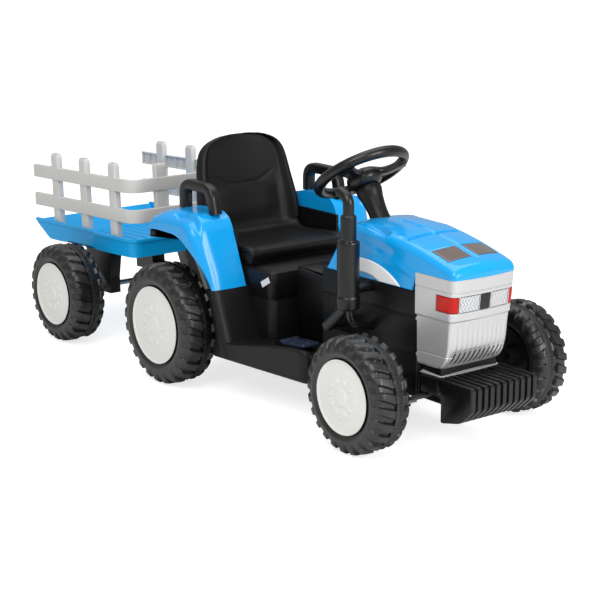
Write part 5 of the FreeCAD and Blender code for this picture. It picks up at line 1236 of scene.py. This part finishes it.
def seat_patches():
    """A flat closed section carried from under the front lip, over the cushion and up the back to its top.

    The section is a superellipse across the seat. Its front face is dished, with a rolled edge and a seam.
    """
    low, high = low_high("seat")
    half = high[1] - 0.001
    top = high[2] - 0.0055
    spine = bent(((high[0] - 0.006, 0.268), (high[0] - 0.002, 0.2870), (high[0] - 0.026, 0.2895),
                  (REAR_X + 0.02, 0.276), (REAR_X - 0.030, 0.284), (low[0] + 0.014, top)),
                 (0, 0.010, 0.020, 0.05, 0.060, 0), 12)
    count = 150
    spine = spaced(spine, count)
    run = np.linspace(0, 1, count)
    total = np.sum(np.linalg.norm(np.diff(spine, axis=0), axis=1))
    from_top = (1 - run) * total
    wide = half * np.interp(from_top, *np.array(SEAT_TOP_SHARES).T)
    thick = np.minimum(sizes().seat_wall * np.interp(run, *np.array(SEAT_THICK_SHARES).T), wide * 2)
    face = beside(spine)
    angle = np.arange(200) * TAU / 200
    c, s = np.cos(angle), np.sin(angle)
    across = np.sign(c) * np.abs(c) ** 0.42
    rise = np.sign(s) * np.abs(s) ** 0.75
    on_face = ease(-0.05, 0.25, s)[None]
    edge_share = np.abs(across)[None]
    back_zone = ease(0.36, 0.52, run)[:, None]
    roll = SEAT_ROLL * ease(0.80, 0.93, edge_share) * (0.35 + 0.65 * back_zone)
    dish = -SEAT_DISH * (1 - edge_share ** 2) * (0.5 + 0.8 * back_zone)
    height = (from_top / total)[:, None]
    pocket_edge = 0.262 - 0.050 * ease(0.25, 0.70, edge_share)
    seam = -SEAT_SEAM * np.exp(-((height - pocket_edge) / 0.008) ** 2) * (1 - ease(0.55, 0.70, edge_share))
    lumbar = (SEAT_LUMBAR * ease(0.26, 0.31, height) * (1 - ease(0.38, 0.48, height))
              * (1 - ease(0.35, 0.75, edge_share)))
    wing = SEAT_WING * np.exp(-((height - 0.40) / 0.15) ** 2) * ease(0.66, 0.95, edge_share)
    relief = (roll + dish + seam + lumbar + wing) * on_face
    offset = thick[:, None] / 2 * rise[None] + relief
    x = spine[:, :1] + face[:, :1] * offset
    z = spine[:, 1:] + face[:, 1:] * offset
    y = wide[:, None] * across[None]
    body = patch(spread(x, y, z), ring=True, caps=(0, -1))
    pan = oblong((REAR_X - 0.070, -half), (high[0] - 0.004, half), (0.02, 0.03, 0.03, 0.02), 6)
    return [body, raised(pan, *zip(*SEAT_PAN_WALL))]


class TRACTOR_OT_seat(bpy.types.Operator):
    """One-piece bucket seat with a rolled edge and a lumbar seam"""
    bl_idname = "tractor.seat"
    bl_label = "Seat"

    def execute(self, context):
        piece("seat_moulding", seat_patches(), "chassis", "seat_black", ("seat",), 50)
        return {"FINISHED"}


# Steering

COLUMN_TILT = math.radians(35)
COLUMN_UP = np.array((-math.sin(COLUMN_TILT), 0.0, math.cos(COLUMN_TILT)))
COLUMN_AHEAD = np.array((math.cos(COLUMN_TILT), 0.0, math.sin(COLUMN_TILT)))
ACROSS = np.array((0.0, 1.0, 0.0))
# Steering wheel: radius of the ring's middle, its tube and the swells on it, spokes in degrees and their ends
RING_RADIUS = 0.089
RING_TUBE = 0.0108
RING_SWELL = 0.0006
SPOKE_TURNS = (60, 180, 300)
SPOKE_ENDS = (0.018, 0.086)
# Section of the hub, and of the shroud up the column: radius, distance up the column from the ring's plane
HUB_LINE = ((0.0165, 0.001), (0.0185, 0.0022), (0.024, 0.0015), (0.0320, -0.003), (0.0360, -0.010),
            (0.0350, -0.022), (0.0270, -0.031), (0.0185, -0.0340))
SHROUD_LINE = ((0.0300, -0.150), (0.0285, -0.134), (0.0265, -0.127), (0.0240, -0.122), (0.0205, -0.108),
               (0.0192, -0.090), (0.0218, -0.060), (0.0256, -0.0375), (0.0250, -0.0340))


def on_column(points, centre):
    """Points of (ahead, across, up the column) put on the steering column."""
    return (centre + points[..., :1] * COLUMN_AHEAD + points[..., 1:2] * ACROSS + points[..., 2:] * COLUMN_UP)


def steering_centre():
    """Middle of the steering wheel's ring, where its joint is."""
    joint = next(j for j in frame["record"]["behaviour"]["joints"] if j["name"] == "steering_turn")
    return np.array(joint["pos_m"], float)


def wheel_patches():
    """Rim as a ring of oval section, spokes as ovals that widen into the rim, hub as a turned dome."""
    centre = steering_centre()
    angle = (np.arange(160) * TAU / 160)[:, None]
    swell = RING_TUBE + RING_SWELL * np.cos(angle * 3)
    tube = (np.arange(36) * TAU / 36)[None]
    ring = RING_RADIUS + swell * np.cos(tube)
    rim = spread(ring * np.cos(angle), ring * np.sin(angle), swell * np.sin(tube))
    parts = [patch(on_column(rim, centre), ring=True, loop=True)]
    start, end = SPOKE_ENDS
    run = np.linspace(start, end, 24)
    drop = -0.006 - 0.006 * np.sin((run - start) / (end - start) * math.pi)
    flare = 1 + 0.35 * ease(0.065, end, run) + 0.30 * (1 - ease(start, 0.040, run))
    for turn in np.radians(SPOKE_TURNS):
        path = spread(run * math.cos(turn), run * math.sin(turn), drop)
        spoke = carried(oval(0.0140, 0.0070, 3.0, 28), path, (0, 0, 1), flare)
        parts.append(patch(on_column(spoke, centre), ring=True, caps=(0, -1)))
    dome = turned(spaced(bent(HUB_LINE, 0.004, 4), 40), centre, COLUMN_UP, 64)
    return [*parts, patch(dome, ring=True)]


def shroud_patches():
    """A flared sleeve: radius as a smooth line along the column, with a raised collar at its foot."""
    radius, along = np.array(SHROUD_LINE).T
    at = np.linspace(along[0], along[-1], 60)
    profile = spread(smooth_line(along, radius, at), at)
    return [patch(turned(profile, steering_centre(), COLUMN_UP, 64), ring=True)]


class TRACTOR_OT_steering(bpy.types.Operator):
    """Three-spoke steering wheel, its hub and the flared column shroud"""
    bl_idname = "tractor.steering"
    bl_label = "Steering"

    def execute(self, context):
        piece("steering_wheel_moulding", wheel_patches(), "steering", "black_trim", ("steering_wheel",), 50)
        piece("column_shroud_moulding", shroud_patches(), "chassis", "black_body", ("column_shroud",), 50)
        return {"FINISHED"}


# Exhaust

# Sleeves of the stack: radius, height
STACK_LINE = ((0.004, 0.2395), (0.018, 0.2400), (0.0222, 0.2430), (0.0232, 0.2640), (0.0225, 0.2662),
              (0.0215, 0.2668), (0.0215, 0.3690), (0.0205, 0.3718), (0.0160, 0.3722), (0.0152, 0.3735),
              (0.0155, 0.3790), (0.0152, 0.4180), (0.0144, 0.4205), (0.0118, 0.4212), (0.0110, 0.4225))
STACK_BACK = 0.105
STACK_Y = -0.142
OUTLET_RADII = (0.0108, 0.0082)
STRUT_HALF = (0.0100, 0.0105)
ARM_RADIUS = 0.0090
FORK_RADIUS = 0.0075


def exhaust_patches():
    """Turned sleeves on an upright line, a bent outlet pipe, and strut, arms and fork carried along lines."""
    x, y = FRONT_X - STACK_BACK, STACK_Y
    inward = low_high("exhaust_stack")[1][1] + 0.004
    stack = turned(spaced(bent(STACK_LINE, 0.0012, 3), 130), (x, y, 0.0), (0, 0, 1), 56)
    path = spaced(bent(((x, y, 0.415), (x, y, 0.4520), (x - 0.0250, y, 0.4620)), (0, 0.016, 0), 14), 50)
    outer, inner = (oval(radius, radius, 2.0, 32) for radius in OUTLET_RADII)
    strut = np.linspace((x + 0.004, y, 0.252), (x - 0.060, y, 0.195), 20)
    fork = spaced(bent(((x + 0.004, y, 0.246), (x + 0.006, y + 0.004, 0.212), (x + 0.004, inward, 0.198)),
                       (0, 0.022, 0), 8), 24)
    parts = [patch(stack, ring=True, caps=(0,)), patch(carried(outer, path, (0, 1, 0)), ring=True),
             patch(carried(inner, path[::-1][:14], (0, 1, 0)), ring=True, caps=(-1,)),
             rod(oval(*STRUT_HALF, 2.6, 28), strut, (0, 1, 0), np.linspace(0.9, 1.1, 20)),
             rod(oval(FORK_RADIUS, FORK_RADIUS, 2.4, 20), fork, (1, 0, 0))]
    for at, z in ((x - 0.058, 0.197), (x, 0.277)):
        arm = spaced(((at, y, z), (at, inward, z)), 8)
        parts.append(rod(oval(ARM_RADIUS, ARM_RADIUS, 2.2, 28), arm, (0, 0, 1)))
    return parts


class TRACTOR_OT_exhaust(bpy.types.Operator):
    """Exhaust stack with sleeves, bent outlet and bracket"""
    bl_idname = "tractor.exhaust"
    bl_label = "Exhaust"

    def execute(self, context):
        piece("exhaust_stack_moulding", exhaust_patches(), "chassis", "black_trim", ("exhaust_stack",), 40)
        return {"FINISHED"}


# Pedal

PEDAL_SLOPE = math.radians(6)
PEDAL_HALF = 0.023
PEDAL_LONG = 0.074
PEDAL_PIN = 0.006
PEDAL_BORE = 0.0031


def pedal_patches():
    """A rounded plate on a slope with a cross rib, a lengthwise rib and a barrel round its pin."""
    low = low_high("accelerator_pedal")[0]
    heel = np.array((low[0] + PEDAL_PIN, middle("accelerator_pedal")[1], low[2] + PEDAL_PIN))
    outline = oblong((0, -PEDAL_HALF), (PEDAL_LONG, PEDAL_HALF), 0.008, 5)
    plate = raised(outline, *soft_ends(-0.003, 0.003, 0.0015))
    ribs = [soft_box((0.034, -0.021, 0.002), (0.039, 0.021, 0.0052), 0.0010, 0.001),
            soft_box((0.006, -0.0025, 0.002), (0.070, 0.0025, 0.0048), 0.0010, 0.001)]
    tube = ((PEDAL_BORE, -PEDAL_HALF), (PEDAL_PIN, -PEDAL_HALF),
            (PEDAL_PIN, PEDAL_HALF), (PEDAL_BORE, PEDAL_HALF))
    barrel = patch(turned(tube, (0, 0, 0), (0, 1, 0), 32), ring=True, loop=True)
    return moved([plate, *ribs, barrel], lambda points: heel + pitched(points, PEDAL_SLOPE))


class TRACTOR_OT_pedal(bpy.types.Operator):
    """Accelerator pedal with moulded ribs"""
    bl_idname = "tractor.pedal"
    bl_label = "Pedal"

    def execute(self, context):
        navy = plastic("pedal_navy", colours().navy, (0.26, 0.36), 900.0, 0.10, coat=0.2)
        piece("accelerator_pedal_moulding", pedal_patches(), "pedal", "pedal_navy",
              ("accelerator_pedal",), 40, finish=navy)
        return {"FINISHED"}


# Trailer

TRAILER_PITCH = math.radians(2.6)


def on_trailer(points):
    """Points about the trailer axle put onto the nose-up trailer."""
    return pitched(points, TRAILER_PITCH) + TRAILER_AXLE * (1, 0, 1)


# Bed, from the trailer axle: half width, front, tail, start of the tail's slope, plan corner, heights, walls
BED_HALF = 0.165
BED_FRONT = 0.190
BED_TAIL = 0.243
BED_SLOPE = 0.186
BED_CORNER = 0.028
BED_TOP = 0.1365
BED_BOTTOM = 0.091
BED_WALL = 0.004
BED_RIM_FOOT = 0.0085
BED_RIB = 0.0040
BED_STEP = 0.0035
BED_PANEL = 0.0012
# Fence: half width, front, tail, plan corner, rail thickness and height, wall of its channel, rail tops
FENCE_HALF = 0.1575
FENCE_FRONT = 0.182
FENCE_TAIL = 0.253
FENCE_CORNER = 0.032
RAIL_THICK = 0.009
RAIL_TALL = 0.030
RAIL_WALL = 0.003
RAIL_TOPS = (0.264, 0.196)
RAIL_RIBS = 14
RAIL_RIB_THICK = 0.0022
# Posts: depth, width, foot and top, spacing along the sides, rearmost place, half distance at the front
POST_DEEP = 0.015
POST_WIDE = 0.029
POST_SPAN = (0.0945, 0.296)
POST_PITCH = 0.127
POST_TAIL = 0.158
POST_FRONT_Y = 0.076
POST_INSET = 0.0098
# Webs on the axle legs: inner and outer half, rounding of the edges
WEB_HALF = (0.107, 0.1345)
WEB_EDGE = 0.002


def bed_patches():
    """Wall section carried along a U line seen from above, and a ribbed floor as a height over the plan."""
    size = sizes()
    lip = size.bed_lip
    half, front = BED_HALF - lip, BED_FRONT - lip
    corners = ((-BED_TAIL, -half), (front, -half), (front, half), (-BED_TAIL, half))
    line = spaced(bent(corners, BED_CORNER, 12), 300)
    x, y = line.T
    out_x, out_y = beside(line).T
    tail = np.clip((-BED_SLOPE - x) / (BED_TAIL - BED_SLOPE), 0, 1)
    arch = 0.005 * bump(x, -0.045, 0.048, 0.030)
    ahead = ease(0.020, 0.026, x)
    base = BED_BOTTOM + (BED_TOP - BED_BOTTOM - 0.012) * tail + arch
    rim = BED_TOP - BED_STEP * ahead
    floor = BED_BOTTOM + BED_WALL
    rows = [(offset, np.maximum(floor + level, base + 0.002))
            for offset, level in ((-0.0095, 0.0), (-0.0052, 0.002))]
    rows += [(offset, rim + level) for offset, level in
             ((-0.0045, -0.002), (-0.0038, -0.0005), (-0.0025, 0.0), (lip * 0.6, 0.0), (lip, -0.0010),
              (lip, -0.0065), (lip * 0.5, -0.0078), (0.0, -BED_RIM_FOOT))]
    rows += [(-0.0006 * part - BED_PANEL * ahead * ease(0.0, 0.25, part),
              (rim - BED_RIM_FOOT) * (1 - part) + base * part) for part in np.linspace(0, 1, 12)]
    rows.append((-0.012, base))
    wall = patch(np.stack([spread(x + out_x * offset, y + out_y * offset, z) for offset, z in rows]))
    u = np.linspace(-BED_TAIL + 0.003, front - 0.002, 130)[:, None]
    v = np.linspace(-1, 1, 181)[None]
    over = np.clip((u - (front - BED_CORNER)) / BED_CORNER, 0, 1)
    wide = half - BED_WALL - (BED_CORNER - BED_WALL) * (1 - quarter(over)) * 0.98
    plan_y = wide * v
    pitch = 2 * (half - BED_WALL) / (size.bed_ribs + 1)
    ribs = bump((plan_y + pitch / 2) % pitch, pitch / 2, pitch * 0.30, pitch * 0.12)
    flat = (1 - ease(front - 0.030, front - 0.022, u)) * ease(-0.180, -0.172, u)
    rise = np.clip(-BED_SLOPE - u, 0, None) * (BED_TOP - floor) / (BED_TAIL - BED_SLOPE)
    z = floor - 0.0015 + BED_RIB * ribs * flat + rise
    deck = spread(u, plan_y, z)
    under = deck[::-1].copy()
    under[..., 2] = (BED_BOTTOM + 0.0005 + rise)[::-1]
    return moved([wall, patch(np.concatenate((deck, under)), loop=True)], on_trailer)


def fence_patches():
    """Rails as a channel carried along a U line, cross ribs in it, and posts with drawn-in tops."""
    half, front = FENCE_HALF, FENCE_FRONT
    out, up, wall = RAIL_THICK / 2, RAIL_TALL / 2, RAIL_WALL
    line = spaced(bent(((-FENCE_TAIL, out - half), (front - out, out - half), (front - out, half - out),
                        (-FENCE_TAIL, half - out)), FENCE_CORNER, 12), 260)
    bar = bent(((out, -up), (out, up), (-out, up), (-out, up - wall), (out - wall, up - wall),
                (out - wall, wall - up), (-out, wall - up), (-out, -up)),
               (0.002, 0.002, 0.001, 0.0008, 0.0008, 0.0008, 0.0008, 0.001), 3, closed=True)
    stations = np.linspace(0.002 - FENCE_TAIL, front - FENCE_CORNER - 0.012, RAIL_RIBS)
    parts = []
    for top in RAIL_TOPS:
        parts.append(rod(bar, spread(*line.T, top - up), (0, 0, 1)))
        for side in SIDES.values():
            near, far = sorted((side * (half - 0.0015), side * (half - RAIL_THICK + 0.0008)))
            parts += [soft_box((x, near, top - RAIL_TALL + 0.0015), (x + RAIL_RIB_THICK, far, top - 0.0015),
                               0.0002, 0.0003) for x in stations]
    low, high = POST_SPAN
    heights = (low, low + 0.001, high - 0.010, high - 0.004, high - 0.001, high)
    insets = (0.0, 0.0, 0.0, 0.0012, 0.0030, 0.0052)
    for side in SIDES.values():
        places = [(step * POST_PITCH - POST_TAIL, side * (half - POST_INSET), POST_WIDE, POST_DEEP)
                  for step in range(3)]
        places.append((front - POST_INSET, side * POST_FRONT_Y, POST_DEEP, POST_WIDE))
        for x, y, along, across in places:
            outline = oblong((x - along / 2, y - across / 2), (x + along / 2, y + across / 2), 0.0032)
            parts.append(raised(outline, heights, insets))
    return moved(parts, on_trailer)


def gusset_patches():
    """Webs that widen upwards outside the axle legs: a side outline carried across, edges drawn in."""
    corners = ((-0.030, 0.0), (0.030, 0.0), (0.050, BED_BOTTOM), (-0.072, BED_BOTTOM))
    outline = bent(corners, 0.004, 4, closed=True)
    y, inset = soft_ends(*WEB_HALF, WEB_EDGE)
    points, faces = raised(outline, y, inset, axes=(0, 2, 1))
    return moved([(points * (1, side, 1), faces) for side in SIDES.values()], on_trailer)


class TRACTOR_OT_trailer(bpy.types.Operator):
    """Trailer bed, fence and the webs on its axle legs"""
    bl_idname = "tractor.trailer"
    bl_label = "Trailer"

    def execute(self, context):
        piece("trailer_bed_moulding", bed_patches(), "trailer", "bed_blue", ("trailer_bed",), 40)
        piece("trailer_fence_moulding", fence_patches(), "trailer", "fence_grey", ("trailer_fence",), 35)
        piece("trailer_leg_webs", gusset_patches(), "trailer", "black_trim")
        return {"FINISHED"}


# Pieces that keep their CAD shape

class TRACTOR_OT_hardware(bpy.types.Operator):
    """Finishes for axles, steering rods, drive, battery, switches and hitch, which keep their CAD shape"""
    bl_idname = "tractor.hardware"
    bl_label = "Hardware"

    def execute(self, context):
        steel = metal("plated_steel", (0.60, 0.60, 0.62))
        nylon = plastic("nylon", (0.78, 0.76, 0.70), (0.40, 0.50), 800.0, 0.08)
        by_node = {
            "battery": plastic("battery_grey", (0.10, 0.105, 0.115), (0.42, 0.52)),
            "control_box": plastic("control_black", (0.03, 0.03, 0.03), (0.42, 0.52)),
            "charge_cover": plastic("cover_white", (0.78, 0.78, 0.78), (0.34, 0.44)),
            "power_button": plastic("button_green", (0.02, 0.22, 0.04), (0.20, 0.28), coat=0.4),
            "direction_rocker": plastic("rocker_black", (0.02, 0.02, 0.02), (0.18, 0.26), coat=0.4),
            "drive_motors": metal("motor_steel", (0.45, 0.45, 0.47), (0.32, 0.46)),
        }
        for side in SIDES:
            by_node[f"output_gear_{side}"] = nylon
            by_node[f"motor_pinion_{side}"] = nylon
            by_node[f"gearbox_{side}"] = black_satin()
            by_node[f"knuckle_{side}"] = black_trim()
            by_node[f"front_wheel_nut_{side}"] = steel
        for node in ("kingpins", "tie_rod", "steering_shaft", "rear_axle", "trailer_axle", "rear_wheel_nuts",
                     "trailer_wheel_nuts", "hitch_pin"):
            by_node[node] = steel
        for node in ("dash_panel", "front_axle_beam", "tow_tongue", "pedal_bracket", "battery_tray"):
            by_node[node] = black_satin()
        for node in ("horn_button", "trailer_frame"):
            by_node[node] = black_trim()
        for node, material in by_node.items():
            mesh = frame["nodes"][node].data
            mesh.materials.clear()
            mesh.materials.append(material)
        return {"FINISHED"}


# Stage

CAMERA_AT = (2.7498, -2.0642, 1.0238)
CAMERA_AZIMUTH = 51.925
CAMERA_ELEVATION = 14.305
CAMERA_LENS = 98.77
SENSOR_WIDTH = 36.0
# Floor: half size, drop under the wheels, tone and glow to the camera; light from all round
FLOOR_REACH = 14.0
FLOOR_DROP = 0.0005
FLOOR_SEEN = 0.66
FLOOR_GLOW = 0.74
SURROUND_LIGHT = 0.42
# Lamps: place, what it faces, side of the square, power
LAMPS = {"key": ((1.9, -2.4, 3.0), (0.2, 0.0, 0.2), 2.4, 76.0),
         "top": ((-0.2, 0.4, 3.4), (0.0, 0.0, 0.2), 3.0, 54.0),
         "front": ((3.6, 0.3, 1.5), (0.3, 0.0, 0.25), 1.6, 62.0)}


def floor_finish():
    """Matte white floor; the camera sees it brighter, so that it reads as white ground with soft shadows."""
    material, tree, shader, _ = finish_nodes("studio_floor")
    tree.nodes.remove(shader)
    plain = add(tree, "BsdfDiffuse", {"Color": (*colours().floor, 1.0)}).outputs["BSDF"]
    seen = add(tree, "BsdfDiffuse", {"Color": (FLOOR_SEEN, FLOOR_SEEN, FLOOR_SEEN, 1.0)}).outputs["BSDF"]
    glow = add(tree, "Emission", {"Strength": FLOOR_GLOW}).outputs["Emission"]
    both = add(tree, "AddShader", {0: seen, 1: glow}).outputs["Shader"]
    rays = add(tree, "LightPath", {}).outputs["Is Camera Ray"]
    pick = add(tree, "MixShader", {"Fac": rays, 1: plain, 2: both}).outputs["Shader"]
    feed(tree.nodes["Material Output"], {"Surface": pick})
    return material


def studio_world():
    """Even pale surroundings; seen directly or through glass they are white."""
    world = bpy.data.worlds.new("studio")
    bpy.context.scene.world = world
    world.use_nodes = True
    tree = world.node_tree
    rays = add(tree, "LightPath", {}).outputs
    seen = add(tree, "Math", {0: rays["Is Camera Ray"], 1: rays["Is Transmission Ray"]}, operation="MAXIMUM")
    feed(tree.nodes["Background"], {"Strength": between(tree, seen.outputs["Value"], SURROUND_LIGHT, 1.0),
                                    "Color": (1.0, 1.0, 1.0, 1.0)})


def soft_lamp(name, at, aim, side, power):
    """A square studio lamp that faces a point."""
    light = bpy.data.lights.new(name, "AREA")
    light.size = side
    light.energy = power
    lamp = bpy.data.objects.new(name, light)
    bpy.context.scene.collection.objects.link(lamp)
    away = np.array(at) - np.array(aim)
    flat = math.hypot(away[0], away[1])
    lamp.location = at
    lamp.rotation_euler = (math.atan2(flat, away[2]), 0.0, math.atan2(away[0], -away[1]))


class TRACTOR_OT_stage(bpy.types.Operator):
    """Pale floor, soft lamps and the camera"""
    bl_idname = "tractor.stage"
    bl_label = "Stage"

    def execute(self, context):
        scene = context.scene
        x, y = np.meshgrid((-FLOOR_REACH, FLOOR_REACH), (-FLOOR_REACH, FLOOR_REACH))
        points, faces = patch(spread(x, y, -FLOOR_DROP))
        mesh = bpy.data.meshes.new("studio_floor")
        mesh.from_pydata(points.tolist(), [], [face[::-1] for face in faces])
        floor = bpy.data.objects.new("studio_floor", mesh)
        scene.collection.objects.link(floor)
        mesh.materials.append(floor_finish())
        studio_world()
        for name, values in LAMPS.items():
            soft_lamp(name, *values)
        view = bpy.data.cameras.new("photo_view")
        view.lens = CAMERA_LENS
        view.sensor_width = SENSOR_WIDTH
        camera = bpy.data.objects.new("photo_view", view)
        scene.collection.objects.link(camera)
        camera.location = CAMERA_AT
        camera.rotation_euler = (math.radians(90 - CAMERA_ELEVATION), 0.0, math.radians(CAMERA_AZIMUTH))
        scene.camera = camera
        scene.view_settings.view_transform = "Standard"
        return {"FINISHED"}


OPERATORS = (TRACTOR_OT_wheels, TRACTOR_OT_bonnet, TRACTOR_OT_grille, TRACTOR_OT_body, TRACTOR_OT_fenders,
             TRACTOR_OT_seat, TRACTOR_OT_steering, TRACTOR_OT_exhaust, TRACTOR_OT_pedal, TRACTOR_OT_trailer,
             TRACTOR_OT_hardware, TRACTOR_OT_stage)


class TRACTOR_PT_panel(bpy.types.Panel):
    """Sidebar list of the tractor's pieces"""
    bl_idname = "TRACTOR_PT_panel"
    bl_label = "Ride-on tractor"
    bl_space_type = "VIEW_3D"
    bl_region_type = "UI"
    bl_category = "Tractor"

    def draw(self, context):
        for operator in OPERATORS:
            self.layout.operator(operator.bl_idname)
        for group in (context.scene.tractor_sizes, context.scene.tractor_colours):
            for name in group.__annotations__:
                self.layout.prop(group, name)


CLASSES = (TractorSizes, TractorColours, *OPERATORS, TRACTOR_PT_panel)


def register():
    for item in CLASSES:
        bpy.utils.register_class(item)
    bpy.types.Scene.tractor_sizes = bpy.props.PointerProperty(type=TractorSizes)
    bpy.types.Scene.tractor_colours = bpy.props.PointerProperty(type=TractorColours)


def unregister():
    del bpy.types.Scene.tractor_colours
    del bpy.types.Scene.tractor_sizes
    for item in reversed(CLASSES):
        bpy.utils.unregister_class(item)


def main():
    register()
    for operator in OPERATORS:
        group, name = operator.bl_idname.split(".")
        getattr(getattr(bpy.ops, group), name)()


if __name__ == "__main__":
    main()
